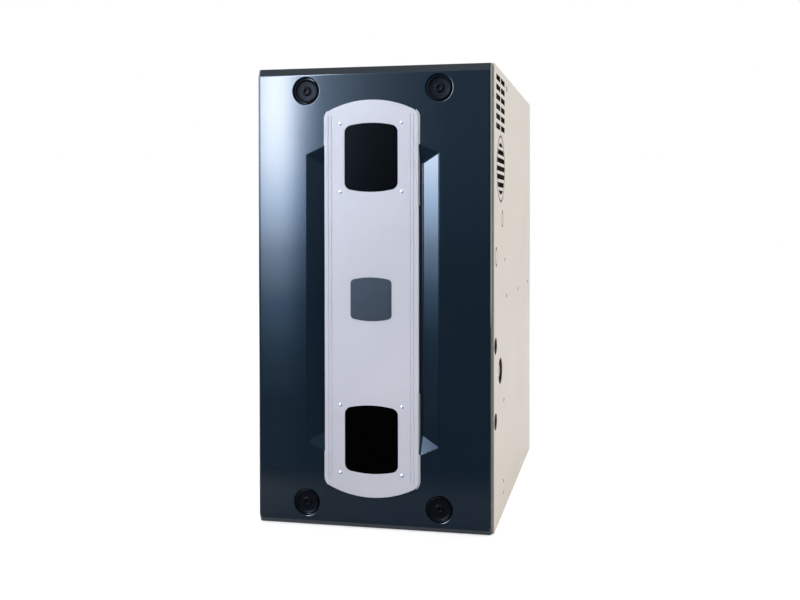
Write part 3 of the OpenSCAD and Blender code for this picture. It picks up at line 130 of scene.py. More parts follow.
def card(name, corner, along, up, tree_colour):
    """A flat glowing card that only reflections see, given by a corner and its two sides."""
    bm = bmesh.new()
    bmesh.ops.create_grid(bm, x_segments=1, y_segments=1, size=0.5)
    corner, along, up = Vector(corner), Vector(along), Vector(up)
    for v in bm.verts:
        v.co = corner + along * (v.co.x + 0.5) + up * (v.co.y + 0.5)
    mesh = bpy.data.meshes.new(name)
    bm.to_mesh(mesh)
    bm.free()
    obj = bpy.data.objects.new(name, mesh)
    scene.collection.objects.link(obj)
    for ray in ("camera", "diffuse", "transmission", "shadow", "volume_scatter"):
        setattr(obj, "visible_" + ray, False)
    m = bpy.data.materials.new(name)
    m.use_nodes = True
    m.node_tree.nodes.clear()
    tree_colour(m.node_tree)
    mesh.materials.append(m)


def ramp(tree, value, stops):
    """A colour ramp from (place, brightness, tint) stops."""
    n = add(tree, "ValToRGB", {"Fac": value})
    n.color_ramp.interpolation = "LINEAR"
    while len(n.color_ramp.elements) < len(stops):
        n.color_ramp.elements.new(0.5)
    for e, (place, bright, tint) in zip(n.color_ramp.elements, stops):
        e.position = place
        c = colour(tint)
        e.color = [bright * c[0], bright * c[1], bright * c[2], 1]
    return n.outputs["Color"]


# The camera's place as the door mirrors it, in metres. The glow is laid out by its angle from there.
mirrored_camera = Vector((0.5439, 1.4425, 0.6835))


def soft_light(tree):
    """A tall soft light before the door, whose glow fades to the right and downwards."""
    at = add(tree, "SeparateXYZ", {0: add(tree, "TexCoord").outputs["Object"]})
    far = add(tree, "Math", {0: mirrored_camera.y, 1: at.outputs["Y"]}, operation="SUBTRACT")
    angles = []
    for axis, middle in (("X", mirrored_camera.x), ("Z", mirrored_camera.z)):
        off = add(tree, "Math", {0: at.outputs[axis], 1: middle}, operation="SUBTRACT")
        angle = add(tree, "Math", {0: off.outputs[0], 1: far.outputs[0]}, operation="DIVIDE")
        angles.append(angle.outputs[0])
    across = add(tree, "MapRange", {"Value": angles[0], 1: -0.7363, 2: -0.2086})
    up = add(tree, "MapRange", {"Value": angles[1], 1: -0.2256, 2: 0.1314})
    side = ramp(tree, across.outputs[0], [
        (0.0, 0.60, "#d4e6ff"), (0.235, 0.78, "#d8e9ff"), (0.412, 0.45, "#c6dcf6"),
        (0.529, 0.55, "#d0e4ff"), (0.559, 0.85, "#e6f0ff"), (0.600, 0.90, "#e6f0ff"),
        (0.624, 0.74, "#dfecff"), (0.647, 0.46, "#cde2ff"), (0.668, 0.26, "#c0dcff"),
        (0.697, 0.12, "#b8d6f8"), (0.818, 0.055, "#b0cbe8"), (0.912, 0.035, "#9cb8d6"),
        (1.0, 0.018, "#94b4d4")])
    fall = ramp(tree, up.outputs[0], [
        (0.0, 0.006, "#bce0ff"), (0.174, 0.028, "#bce0ff"), (0.346, 0.085, "#bce0ff"),
        (0.519, 0.24, "#dcedff"), (0.691, 0.62, "#e2f0ff"), (0.862, 0.90, "#fafcff"),
        (1.0, 1.0, "#ffffff")])
    glow = add(tree, "Mix", {0: 1.0, 6: side, 7: fall}, data_type="RGBA", blend_type="MULTIPLY")
    lit = add(tree, "Emission", {"Color": glow.outputs[2], "Strength": 38.0})
    cloth = add(tree, "BsdfDiffuse", {"Color": colour("#0a0e12")})
    both = add(tree, "AddShader", {0: lit.outputs[0], 1: cloth.outputs[0]})
    add(tree, "OutputMaterial", {"Surface": both.outputs[0]})


def side_card(tree):
    """A broad soft box to the left, brighter towards its top."""
    at = add(tree, "SeparateXYZ", {0: add(tree, "TexCoord").outputs["Object"]})
    up = add(tree, "MapRange", {"Value": at.outputs["Z"], 1: 0.0, 2: 1.5})
    glow = ramp(tree, up.outputs[0], [
        (0.0, 0.02, "#6f8fb5"), (0.3, 0.16, "#8fb2dc"), (0.7, 0.9, "#a9c9f2"), (1.0, 1.0, "#bcd6f8")])
    add(tree, "OutputMaterial",
        {"Surface": add(tree, "Emission", {"Color": glow, "Strength": 9.0}).outputs[0]})


def right_light(tree):
    """A long soft box to the right that the door's rolled edge and the strip's side mirror."""
    at = add(tree, "SeparateXYZ", {0: add(tree, "TexCoord").outputs["Object"]})
    along = add(tree, "MapRange", {"Value": at.outputs["Y"], 1: -1.4, 2: 6.0})
    glow = ramp(tree, along.outputs[0], [
        (0.0, 0.1, "#dfe9f2"), (0.08, 1.0, "#dfe9f2"), (0.4, 0.7, "#e6edf4"), (0.75, 0.4, "#eef2f6"),
        (1.0, 0.14, "#ffffff")])
    add(tree, "OutputMaterial",
        {"Surface": add(tree, "Emission", {"Color": glow, "Strength": 7.0}).outputs[0]})


def dark_card(tree):
    """Black cloth, so that the door mirrors a dark wall to the front right."""
    cloth = add(tree, "BsdfDiffuse", {"Color": colour("#0a0e12")})
    add(tree, "OutputMaterial", {"Surface": cloth.outputs[0]})


def near_card(tree):
    """Grey cloth close to the door, seen only in reflections: paler towards the door and to the left,
    with light and shade painted into its colour.
    """
    at = add(tree, "SeparateXYZ", {0: add(tree, "TexCoord").outputs["Object"]})
    near = add(tree, "MapRange", {"Value": at.outputs["Y"], 1: -0.76, 2: -0.38})
    left = add(tree, "MapRange", {"Value": at.outputs["X"], 1: -0.5, 2: 0.1})
    # Both ramps are painted light and shade: the cloth is dark far from the door, and pale near it and
    # to the left.
    shade = ramp(tree, near.outputs[0], [
        (0.0, 0.02, "#ffffff"), (0.5, 1.0, "#ffffff"), (1.0, 1.0, "#ffffff")])
    tint = ramp(tree, left.outputs[0], [
        (0.0, 1.0, "#f4f6fa"), (0.4, 0.9, "#c2c8d0"), (1.0, 0.8, "#b0b6c0")])
    both = add(tree, "Mix", {0: 1.0, 6: shade, 7: tint}, data_type="RGBA", blend_type="MULTIPLY")
    cloth = add(tree, "BsdfDiffuse", {"Color": both.outputs[2]})
    add(tree, "OutputMaterial", {"Surface": cloth.outputs[0]})


card("wall_card", (-4.2, -5.0, -1.8), (8.0, 0, 0), (0, 0, 6.5), soft_light)
card("box_card", (-2.6, -3.4, -0.6), (0, 4.0, 0), (0, 0, 3.2), side_card)
card("cloth_card", (-4.2, -5.0, 0.004), (8.0, 0, 0), (0, 4.24, 0), soft_light)
card("cloth_near_card", (-1.4, -0.76, 0.004), (2.7, 0, 0), (0, 0.40, 0), near_card)
card("cloth_right_card", (3.8, -5.0, -1.8), (0, 3.6, 0), (0, 0, 6.5), dark_card)
card("right_card", (3.8, -1.4, -1.0), (0, 7.4, 0), (0, 0, 4.5), right_light)

camera = bpy.data.objects.new("camera", bpy.data.cameras.new("camera"))
camera.data.lens = 38.543
camera.data.sensor_width = 36
camera.data.shift_x = -0.0943
camera.data.shift_y = -0.0901
camera.data.clip_end = 100
camera.location = (0.5439, -2.1585, 0.6835)
camera.rotation_euler = (math.radians(89.314), 0, math.radians(9.901))
scene.collection.objects.link(camera)
scene.camera = camera

# ---------------------------------------------------------------- door skin
# The door's outside: one pan of pressed steel with rolled sides, sloped bands at top and bottom, a deep
# scoop behind the trim strip and four round cups for the latches, sprayed in glossy slate enamel.


def material(name, base, rough, metallic=0.0, spread=0.10, patch=70, grain=1.6, depth=0.02, speck=0.10,
             stretch=(1, 1, 1), **shader):
    """A finish with slow shifts of colour, uneven gloss and a fine surface. Sizes are in mm."""
    m = bpy.data.materials.new(name)
    m.use_nodes = True
    tree = m.node_tree
    tree.nodes.clear()
    where = add(tree, "Mapping", {"Vector": add(tree, "TexCoord").outputs["Object"], "Scale": stretch})
    slow = add(tree, "TexNoise", {"Vector": where.outputs[0], "Scale": 1000 / patch, "Detail": 4.0})
    fine = add(tree, "TexNoise", {"Vector": where.outputs[0], "Scale": 1000 / grain, "Detail": 2.0})
    tint = colour(base)
    low = [c * (1 - spread) for c in tint[:3]] + [1]
    high = [min(1, c * (1 + spread)) for c in tint[:3]] + [1]
    blend = add(tree, "MapRange", {"Value": slow.outputs[0], 1: 0.3, 2: 0.7})
    skin = add(tree, "Mix", {0: blend.outputs[0], 6: low, 7: high}, data_type="RGBA")
    gloss = add(tree, "MapRange", {"Value": fine.outputs[0], 1: 0.25, 2: 0.75,
                                   3: rough * (1 - speck), 4: min(1, rough * (1 + speck))})
    bump = add(tree, "Bump", {"Height": fine.outputs[0], "Distance": depth / 1000, "Strength": 1.0})
    surface = add(tree, "BsdfPrincipled", {"Base Color": skin.outputs[2], "Roughness": gloss.outputs[0],
                                           "Metallic": metallic, "Normal": bump.outputs[0]})
    for key, value in shader.items():
        surface.inputs[key.replace("_", " ").title().replace("Ior", "IOR")].default_value = value
    add(tree, "OutputMaterial", {"Surface": surface.outputs[0]})
    return m


def piece(name, bm, finish, body, *nodes, smooth=40, slot=None, edge=0):
    """Makes a bmesh a shown piece that rides on a body and stands for CAD nodes. The edge is in mm."""
    bmesh.ops.remove_doubles(bm, verts=bm.verts, dist=1e-6)
    bmesh.ops.recalc_face_normals(bm, faces=bm.faces)
    for f in bm.faces:
        f.smooth = True
    for e in bm.edges:
        e.smooth = len(e.link_faces) == 2 and e.calc_face_angle(0) < math.radians(smooth)
    mesh = bpy.data.meshes.new(name)
    bm.to_mesh(mesh)
    bm.free()
    obj = bpy.data.objects.new(name, mesh)
    scene.collection.objects.link(obj)
    mesh.materials.append(finish)
    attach(obj, body)
    if nodes:
        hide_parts(*nodes)
    if edge:
        bevel = obj.modifiers.new("edge", "BEVEL")
        bevel.width, bevel.segments = edge / 1000, 2
        bevel.limit_method, bevel.angle_limit = "ANGLE", math.radians(60)
    obj.modifiers.new("shading", "WEIGHTED_NORMAL").keep_sharp = True
    return obj


def block(bm, low, high):
    """Adds a box given by two corners, in mm, and gives back its vertices."""
    low, high = Vector(low) / 1000, Vector(high) / 1000
    where = Matrix.Translation((low + high) / 2) @ Matrix.Diagonal((*(high - low), 1))
    return bmesh.ops.create_cube(bm, size=1, matrix=where)["verts"]


def slice_off(bm, point, normal):
    """Cuts away what lies beyond a plane and closes the cut. The point is in mm."""
    geom = bm.verts[:] + bm.edges[:] + bm.faces[:]
    cut = bmesh.ops.bisect_plane(bm, geom=geom, plane_co=Vector(point) / 1000, plane_no=normal,
                                 clear_outer=True)["geom_cut"]
    bmesh.ops.edgeloop_fill(bm, edges=[e for e in cut if isinstance(e, bmesh.types.BMEdge)])


def spun(bm, profile, centre, steps=64):
    """Turns a profile of (radius, y) points, in mm, about a line along Y, and closes its poles."""
    old = set(bm.verts)
    x, z = centre
    line = [bm.verts.new((x / 1000 + r / 1000, y / 1000, z / 1000)) for r, y in profile]
    edges = [bm.edges.new(pair) for pair in zip(line, line[1:])]
    bmesh.ops.spin(bm, geom=line + edges, cent=(x / 1000, 0, z / 1000), axis=(0, 1, 0),
                   angle=2 * math.pi, steps=steps)
    made = [v for v in bm.verts if v not in old]
    bmesh.ops.remove_doubles(bm, verts=made, dist=1e-6)


def carve(bm, cutter):
    """Takes one bmesh out of another by a Boolean, and gives back the result."""
    for b in (bm, cutter):
        bmesh.ops.remove_doubles(b, verts=b.verts, dist=1e-6)
        bmesh.ops.recalc_face_normals(b, faces=b.faces)
    made = []
    for b in (bm, cutter):
        mesh = bpy.data.meshes.new("carve")
        b.to_mesh(mesh)
        b.free()
        made.append(bpy.data.objects.new("carve", mesh))
        scene.collection.objects.link(made[-1])
    cut = made[0].modifiers.new("cut", "BOOLEAN")
    cut.operation, cut.object, cut.solver = "DIFFERENCE", made[1], "EXACT"
    result = bmesh.new()
    result.from_mesh(made[0].evaluated_get(bpy.context.evaluated_depsgraph_get()).to_mesh())
    for o in made:
        mesh = o.data
        bpy.data.objects.remove(o)
        bpy.data.meshes.remove(mesh)
    return result


def arched(bm, w, h, rise, corner, y, z, depth):
    """Adds a plate with arched ends and rounded corners, from y back by depth, in mm."""
    made = bmesh.ops.create_grid(bm, x_segments=24, y_segments=1, size=0.5)["verts"]
    big = (w * w / 4 + rise * rise) / (2 * rise)
    inner = min(1, (w / 2 - 1.05 * corner) / (w / 2 - w / 24))
    for v in made:
        x, up = v.co.x * w * (inner if abs(v.co.x) < 0.499 else 1), 1 if v.co.y > 0 else -1
        v.co = Vector((x, y, z + up * (h / 2 - big + math.sqrt(big * big - x * x)))) / 1000
    faces = list(dict.fromkeys(f for v in made for f in v.link_faces))
    face = bmesh.ops.dissolve_faces(bm, faces=faces)["region"][0]
    tips = [v for v in face.verts if abs(abs(v.co.x) - w / 2000) < 1e-6]
    if corner:
        bmesh.ops.bevel(bm, geom=tips, offset=corner / 1000, segments=6, profile=0.5, affect="VERTICES")
    near = [f for f in bm.faces if all(abs(v.co.y - y / 1000) < 1e-7 for v in f.verts)
            and abs(f.calc_center_median().z - z / 1000) < h / 2000]
    face = max(near, key=lambda f: f.calc_area())
    top = bmesh.ops.extrude_face_region(bm, geom=[face])["geom"]
    bmesh.ops.translate(bm, verts=[g for g in top if isinstance(g, bmesh.types.BMVert)],
                        vec=(0, depth / 1000, 0))


def soften(bm, edges, width, segments=3):
    """Rounds edges, with the width in mm."""
    bmesh.ops.bevel(bm, geom=edges, offset=width / 1000, offset_type="OFFSET", segments=segments,
                    profile=0.5, affect="EDGES", clamp_overlap=True, material=-1)


# Slate enamel: deep blue-black gloss whose slight orange peel breaks up the lamps' reflections.
door_enamel = material("slate_enamel", "#182632", 0.07, spread=0.05, patch=160, grain=5, depth=0.012,
                       speck=0.06, specular_ior_level=0.42)
low, high = (v * 1000 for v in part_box("door_panel"))
bm = bmesh.new()
block(bm, low, high)
for z, s in ((high.z, 1), (low.z, -1)):
    slice_off(bm, (0, low.y, z - s * 17), Vector((0, -17, s * 6)).normalized())
soften(bm, [e for e in bm.edges if {round(abs(f.normal.x)) for f in e.link_faces} == {0, 1}
            and all(f.normal.y < 0.1 and abs(f.normal.z) < 0.5 for f in e.link_faces)], 8, 6)
bm.normal_update()
soften(bm, [e for e in bm.edges if len(e.link_faces) == 2
            and abs(e.link_faces[0].normal.z - e.link_faces[1].normal.z) > 0.15
            and all(f.normal.y < 0.9 for f in e.link_faces)], 1.6, 2)

cutter = bmesh.new()
scoop_rim = [(149, 188), (108, 170), (-108, 170), (-149, 188),
             (-149, 822), (-108, 840), (108, 840), (149, 822)]
scoop_depth = 8
for x, z in scoop_rim:
    cutter.verts.new((x / 1000, low.y / 1000, z / 1000))
    cutter.verts.new((x / 1000, low.y / 1000 - 0.01, z / 1000))
for x in (-112, 112):
    for z in (210, 800):
        cutter.verts.new((x / 1000, (low.y + scoop_depth) / 1000, z / 1000))
bmesh.ops.convex_hull(cutter, input=cutter.verts)
bmesh.ops.dissolve_limit(cutter, angle_limit=0.01, verts=cutter.verts, edges=cutter.edges)
bm = carve(bm, cutter)
bm.normal_update()
soften(bm, [e for e in bm.edges if len(e.link_faces) == 2 and e.calc_face_angle(0) > 0.05
            and all(abs(v.co.x) < 0.15 and 0.169 < v.co.z < 0.841 and v.co.y < -0.349 for v in e.verts)],
       1.6, 3)
for v in bm.verts:
    v.co.y = max(v.co.y, low.y / 1000)

latches = {"top_left": (-150, 963), "top_right": (150, 963), "bottom_left": (-150, 53),
           "bottom_right": (150, 53)}
windows = {"lower": 199, "upper": 814.5}
pane_w, pane_h, pane_rise = 130, 160, 8
cup = [(0, -4), (32, -4), (32, 0), (31.1, 0.1), (30.2, 0.6), (29.6, 1.6), (29.5, 2.6), (29.5, 6.2),
       (28.9, 7.4), (27.6, 8), (0, 8)]
cutter = bmesh.new()
for place in latches.values():
    spun(cutter, [(r, low.y + y) for r, y in cup], place)
bm = carve(bm, cutter)
cutter = bmesh.new()
for z in windows.values():
    arched(cutter, pane_w + 0.6, pane_h + 0.6, pane_rise, 14, -360, z, 11)
for place in latches.values():
    spun(cutter, [(0, -352), (5.4, -352), (5.4, -349), (0, -349)], place, 24)
bm = carve(bm, cutter)
bm.normal_update()
back = max((f for f in bm.faces if f.normal.y > 0.99), key=lambda f: f.calc_area())
rim = back.edges[:]
through = []
for f in bm.faces:
    c = f.calc_center_median()
    window = abs(c.x) < 0.07 and 0.11 < c.z < 0.9 and -0.3491 < c.y < -0.3489
    spindle = -0.3499 < c.y < -0.3485 and math.hypot(abs(c.x) - 0.15, abs(c.z - 0.508) - 0.455) < 0.0056
    if window or spindle:
        through.append(f)
bmesh.ops.delete(bm, geom=[back] + through, context="FACES_ONLY")
lip = bmesh.ops.extrude_edge_only(bm, edges=rim)["geom"]
for v in (g for g in lip if isinstance(g, bmesh.types.BMVert)):
    v.co.x = max(low.x + 12, min(high.x - 12, v.co.x * 1000)) / 1000
    v.co.z = max(low.z + 12, min(high.z - 12, v.co.z * 1000)) / 1000
bmesh.ops.delete(bm, geom=[v for v in bm.verts if not v.link_faces], context="VERTS")
bmesh.ops.remove_doubles(bm, verts=bm.verts, dist=1e-6)
bmesh.ops.recalc_face_normals(bm, faces=bm.faces)
if sum(f.normal.y * f.calc_area() for f in bm.faces if f.calc_center_median().y < -0.3575) > 0:
    bmesh.ops.reverse_faces(bm, faces=bm.faces)
shell = bpy.data.meshes.new("shell")
bm.to_mesh(shell)
bm.free()
held = bpy.data.objects.new("shell", shell)
scene.collection.objects.link(held)
wall = held.modifiers.new("wall", "SOLIDIFY")
wall.thickness, wall.offset = 0.0012, -1
bm = bmesh.new()
bm.from_mesh(held.evaluated_get(bpy.context.evaluated_depsgraph_get()).to_mesh())
bpy.data.objects.remove(held)
piece("door_skin", bm, door_enamel, "door", "door_panel", smooth=28, slot="door_enamel")

# ---------------------------------------------------------------- trim strip
# The long bright strip down the door's middle: a formed cover with arched ends, a rounded rim, two
# fine grooves along each side and two window openings, in satin silver paint, on legs in the scoop.


def front_rim(bm, y):
    """The sharp edges round a plate's front, which lies before y (in metres)."""
    return [e for e in bm.edges if all(v.co.y < y for v in e.verts) and e.calc_face_angle(0) > 0.5]


# Silver paint: pale lilac grey with tiny bright flakes and a soft sheen.
silver_paint = material("silver_paint", "#d7d8e2", 0.32, spread=0.05, patch=220, grain=0.5, depth=0.006,
                        speck=0.25, specular_ior_level=0.25)
bm = bmesh.new()
strip_w, strip_h, strip_rise, strip_mid = 212, 868, 28, 506
strip_front, strip_wall, foot_reach = -364, 2, 2.5
arched(bm, strip_w, strip_h, strip_rise, 12, strip_front, strip_mid, 6)
bm.normal_update()
soften(bm, front_rim(bm, -0.3639), 2.0, 5)
inside = bmesh.new()
arched(inside, strip_w - 2 * strip_wall, strip_h - 2 * strip_wall, strip_rise, 10,
       strip_front + strip_wall, strip_mid, 6)
bm = carve(bm, inside)
cutter = bmesh.new()
for z in windows.values():
    arched(cutter, pane_w - 10, pane_h - 10, pane_rise, 12, -366, z, 6)
for x in (-96, -89, 89, 96):
    turn = Matrix.Translation(Vector((x, strip_front - 0.2, strip_mid)) / 1000)
    bmesh.ops.create_cone(cutter, cap_ends=True, segments=20, radius1=0.0016, radius2=0.0016,
                          depth=0.80, matrix=turn)
bm = carve(bm, cutter)
bm.normal_update()
soften(bm, [e for e in bm.edges if len(e.link_faces) == 2 and e.calc_face_angle(0) > 1.0
            and all(abs(v.co.y + 0.364) < 1e-5 and abs(v.co.x) < 0.0605 for v in e.verts)], 1.1, 3)
foot = bmesh.new()
arched(foot, strip_w + 2 * foot_reach, strip_h + 2 * foot_reach, strip_rise, 14, -359.1, strip_mid, 0.9)
inside = bmesh.new()
arched(inside, strip_w - 3, strip_h - 3, strip_rise, 10.5, strip_front + strip_wall, strip_mid, 6)
foot = carve(foot, inside)
cutter = bmesh.new()
block(cutter, (-130, -361, 170), (130, -357, 842))
foot = carve(foot, cutter)
cutter = bmesh.new()
block(cutter, (-100, -361, 60), (100, -357, 960))
foot = carve(foot, cutter)
foot.normal_update()
soften(foot, front_rim(foot, -0.359), 0.35, 2)
hold = bpy.data.meshes.new("foot")
foot.to_mesh(hold)
foot.free()
bm.from_mesh(hold)
for side in (-1, 1):
    for top in (0, 1):
        leg = bmesh.new()
        block(leg, (side * 105 - 1, -362.2, 170), (side * 105 + 1, -350.2, 301))
        slice_off(leg, (0, -358, 170.4), Vector((0, 40, -8)).normalized())
        if top:
            bmesh.ops.scale(leg, vec=(1, 1, -1), verts=leg.verts)
            bmesh.ops.translate(leg, vec=(0, 0, 1.01), verts=leg.verts)
            bmesh.ops.reverse_faces(leg, faces=leg.faces)
        hold = bpy.data.meshes.new("leg")
        leg.to_mesh(hold)
        leg.free()
        bm.from_mesh(hold)
piece("trim_cover", bm, silver_paint, "door", "trim_strip", smooth=28, slot="silver_trim")

# ---------------------------------------------------------------- windows
# Two smoked plastic panes behind the strip, each in a black moulded sleeve that runs back through the
# door. A black perforated screen stands behind the lower pane.

# Smoked acrylic: almost black, with a clear gloss, and a little of the inside shows through.
smoked = material("smoked_acrylic", "#0e0f11", 0.04, spread=0.04, grain=30, depth=0.003, speck=0.3,
                  transmission_weight=0.8, specular_ior_level=0.15, ior=1.2)
# Black ABS: dull moulded plastic with a fine leather grain.
black_abs = material("black_abs", "#101113", 0.55, spread=0.2, grain=0.8, depth=0.03)
for where, z in windows.items():
    bm = bmesh.new()
    arched(bm, pane_w, pane_h, pane_rise, 14, -362, z, 2.2)
    bm.normal_update()
    soften(bm, [e for e in bm.edges if e.calc_face_angle(0) > 1.0], 0.4, 2)
    piece(where + "_pane", bm, smoked, "door", where + "_window", slot="smoked_window")
    bm = bmesh.new()
    arched(bm, pane_w, pane_h, pane_rise, 14, -359.7, z, 23.4)
    inside = bmesh.new()
    arched(inside, pane_w - 9, pane_h - 9, pane_rise, 12, -362, z, 30)
    bm = carve(bm, inside)
    bm.normal_update()
    soften(bm, [e for e in bm.edges if e.calc_face_angle(0) > 1.0], 0.5, 2)
    piece(where + "_sleeve", bm, black_abs, "door", slot="smoked_window")

# Perforated steel: black sheet with rows of 3 mm holes that read as faint dotted lines. The holes are
# not cut: they are dents painted near-black, as painted shade for the dark space behind them.
screen_steel = bpy.data.materials.new("perforated_steel")
screen_steel.use_nodes = True
tree = screen_steel.node_tree
tree.nodes.clear()
at = add(tree, "SeparateXYZ", {0: add(tree, "TexCoord").outputs["Object"]})
rows = []
hole_pitch = 0.0045
for axis in ("X", "Z"):
    turn = add(tree, "Math", {0: at.outputs[axis], 1: 2 * math.pi / hole_pitch}, operation="MULTIPLY")
    rows.append(add(tree, "Math", {0: turn.outputs[0]}, operation="COSINE").outputs[0])
crossing = add(tree, "Math", {0: rows[0], 1: rows[1]}, operation="ADD")
holes = add(tree, "MapRange", {"Value": crossing.outputs[0], 1: 0.5, 2: 1.1})
dark = add(tree, "Mix", {0: holes.outputs[0], 6: colour("#9a9c9e"), 7: colour("#060606")},
           data_type="RGBA")
bump = add(tree, "Bump", {"Height": holes.outputs[0], "Distance": 0.001, "Strength": 1.0}, invert=True)
metal = add(tree, "BsdfPrincipled",
            {"Base Color": dark.outputs[2], "Roughness": 0.45, "Normal": bump.outputs[0]})
add(tree, "OutputMaterial", {"Surface": metal.outputs[0]})
bm = bmesh.new()
arched(bm, pane_w - 9.2, pane_h - 9.2, pane_rise, 12, -349, windows["lower"], 1)
piece("lower_screen", bm, screen_steel, "door", slot="smoked_window")

# ---------------------------------------------------------------- centre plate
# A small bare plate stuck to the middle of the strip: anodised aluminium with arched ends and a polished
# edge, in dark blue-grey.

# Grey anodising: fine brushed lines under a dark, slightly blue film.
anodised = material("grey_anodising", "#272e36", 0.34, metallic=0.2, spread=0.08, patch=90, grain=0.7,
                    depth=0.006, stretch=(0.08, 1, 1))
bm = bmesh.new()
arched(bm, 92, 95, 6, 7, strip_front - 1.6, strip_mid, 1.6)
bm.normal_update()
soften(bm, front_rim(bm, -0.3655), 0.7, 3)
piece("centre_plate", bm, anodised, "door", "badge_plate", slot="plate_grey")

# ---------------------------------------------------------------- trim screws
# Eight small pan-head screws around the windows, machined from steel and plated bright, with a cross
# recess for the driver.

# Bright plating: clean mirror-like steel with faint swirl marks.
bright_plate = material("bright_plating", "#e6e7ee", 0.3, metallic=1.0, spread=0.04, grain=0.6,
                        depth=0.004)
bm = bmesh.new()
pan_head = [(0, -366), (1.4, -365.95), (2.6, -365.6), (3.5, -365), (3.95, -364.3), (4, -364), (0, -364)]
spun(bm, pan_head, (0, 0), 32)
for w, h in ((2.3, 0.42), (0.42, 2.3)):
    cutter = bmesh.new()
    block(cutter, (-w, -367, -h), (w, -365.1, h))
    bm = carve(bm, cutter)
head = bpy.data.meshes.new("head")
bm.to_mesh(head)
bm.free()
bm = bmesh.new()
for x in (-69.5, 69.5):
    for z in (w + side for w in windows.values() for side in (-74.5, 74.5)):
        old = set(bm.verts)
        bm.from_mesh(head)
        bmesh.ops.translate(bm, verts=[v for v in bm.verts if v not in old],
                            vec=(x / 1000, 0, z / 1000))
piece("pan_head_screws", bm, bright_plate, "door", "trim_screws", smooth=35, slot="screw_steel")

# ---------------------------------------------------------------- latches
# Four quarter-turn latches: a dished round knob of black nylon with a raised hub and a drive socket,
# on a steel spindle that carries a flat cam behind the door.

# Black nylon: moulded, slightly glossy, with a soft highlight on each rounded rim.
nylon = material("black_nylon", "#0a0d12", 0.34, spread=0.15, grain=1.2, depth=0.02,
                 specular_ior_level=0.07)
# Zinc plate: pale bluish steel with a light grain.
zinc = material("zinc_plate", "#b9bcc0", 0.38, metallic=1.0, spread=0.08, patch=30, grain=1.5,
                depth=0.01)
knob = [(0, -350.3), (25.6, -350.3), (26.4, -351), (26.5, -355.6), (26.2, -356.5), (25.4, -357),
        (24.4, -356.9), (23.6, -356.2), (22.6, -354.9), (20.6, -354.2), (11.4, -354), (10.2, -354.3),
        (9.4, -355.6), (8.6, -356.5), (7.2, -356.8), (5.6, -356.6), (4.6, -356), (4.1, -354.8),
        (4, -353), (0, -353)]
for where, (x, z) in latches.items():
    body = "latch_" + where
    bm = bmesh.new()
    spun(bm, knob, (x, z), 72)
    for turn in range(6):
        ridge = block(bm, (17.4, -355.2, -0.6), (21.8, -353.9, 0.6))
        bmesh.ops.rotate(bm, cent=(0, 0, 0), matrix=Matrix.Rotation(turn * math.pi / 3, 3, "Y"),
                         verts=ridge)
        bmesh.ops.translate(bm, vec=(x / 1000, 0, z / 1000), verts=ridge)
    piece(where + "_knob", bm, nylon, body, body, slot="latch_black")
    bm = bmesh.new()
    spun(bm, [(0, -350.5), (5, -350.5), (5, -331.6), (4.6, -331.2), (0, -331.2)], (x, z), 32)
    inward = -1 if x > 0 else 1
    ends = sorted((x, x + inward * 34))
    cam = block(bm, (ends[0], -334.3, z - 6.5), (ends[1], -331.4, z + 6.5))
    bm.normal_update()
    soften(bm, [e for e in dict.fromkeys(e for v in cam for e in v.link_edges)
                if abs((e.verts[0].co - e.verts[1].co).normalized().y) > 0.9], 5, 5)
    piece(where + "_cam", bm, zinc, body, smooth=35, slot="latch_black")

# ---------------------------------------------------------------- cabinet sides
# The wrapper: two folded steel sides, punched with vent slots, a round slotted knock-out with its score
# line, pipe holes and small screw holes, in warm off-white enamel.

# Warm white enamel: satin coat with a very slight orange peel and faint handling marks.
cabinet_paint = material("warm_white_enamel", "#dacebf", 0.36, spread=0.035, patch=260, grain=2.6,
                         depth=0.010, speck=0.12)
# Painted groove shade: a dark, part-metal finish on the floors of the pressed score line and pits,
# painted shade standing in for the shadow inside them, which draws the knock-out's outline.
painted_groove_shade = material("painted_groove_shade", "#1f1e1d", 0.5, metallic=0.4, spread=0.15, patch=12,
                        grain=0.8, depth=0.01)
side_face = 266.7


def scored(bm, y, z, tall, thick, squash=1, steps=48):
    """Presses a ring, or an oval squashed along Y, into the right side's face. Sizes are in mm."""
    cutter = bmesh.new()
    ring = [(tall - thick, -2), (tall, -2), (tall, 0.6), (tall - thick, 0.6), (tall - thick, -2)]
    spun(cutter, ring, (0, 0), steps)
    bmesh.ops.scale(cutter, vec=(squash, 1, 1), verts=cutter.verts)
    place = Matrix.Translation(Vector((side_face, y, z)) / 1000) @ Matrix.Rotation(math.pi / 2, 4, "Z")
    bmesh.ops.transform(cutter, verts=cutter.verts, matrix=place)
    return carve(bm, cutter)


for where in ("left", "right"):
    node = where + "_side_panel"
    bm = bmesh.new()
    bm.from_mesh(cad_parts[node].data)
    bmesh.ops.remove_doubles(bm, verts=bm.verts, dist=1e-5)
    bmesh.ops.dissolve_limit(bm, angle_limit=0.02, verts=bm.verts, edges=bm.edges)
    if where == "right":
        bm = scored(bm, -236, 794, 76, 5, 0.84, 96)
        for y, z, tall, thick in ((-210, 680.5, 20, 5), (-305, 597.5, 22, 4.5), (-169, 585, 4.5, 4.4),
                                  (-140, 498, 5, 4.9), (82, 497, 5, 4.9), (300, 500, 5, 4.9),
                                  (-138, 988, 7, 6.9), (-184, 259, 4.5, 4.4), (-191, 72, 4, 3.9),
                                  (-195, 45, 4, 3.9)):
            bm = scored(bm, y, z, tall, thick, 0.6 if tall > 10 else 1)
        # The small faces on the floors of the pressed grooves and pits take the second finish, the
        # painted groove shade.
        for f in bm.faces:
            if 0.2660 < f.calc_center_median().x < 0.2666 and f.calc_area() < 0.00012:
                f.material_index = 1
    side = piece(where + "_side", bm, cabinet_paint, "casing", node, smooth=35, slot="cabinet_steel",
                 edge=0.4)
    side.data.materials.append(painted_groove_shade)

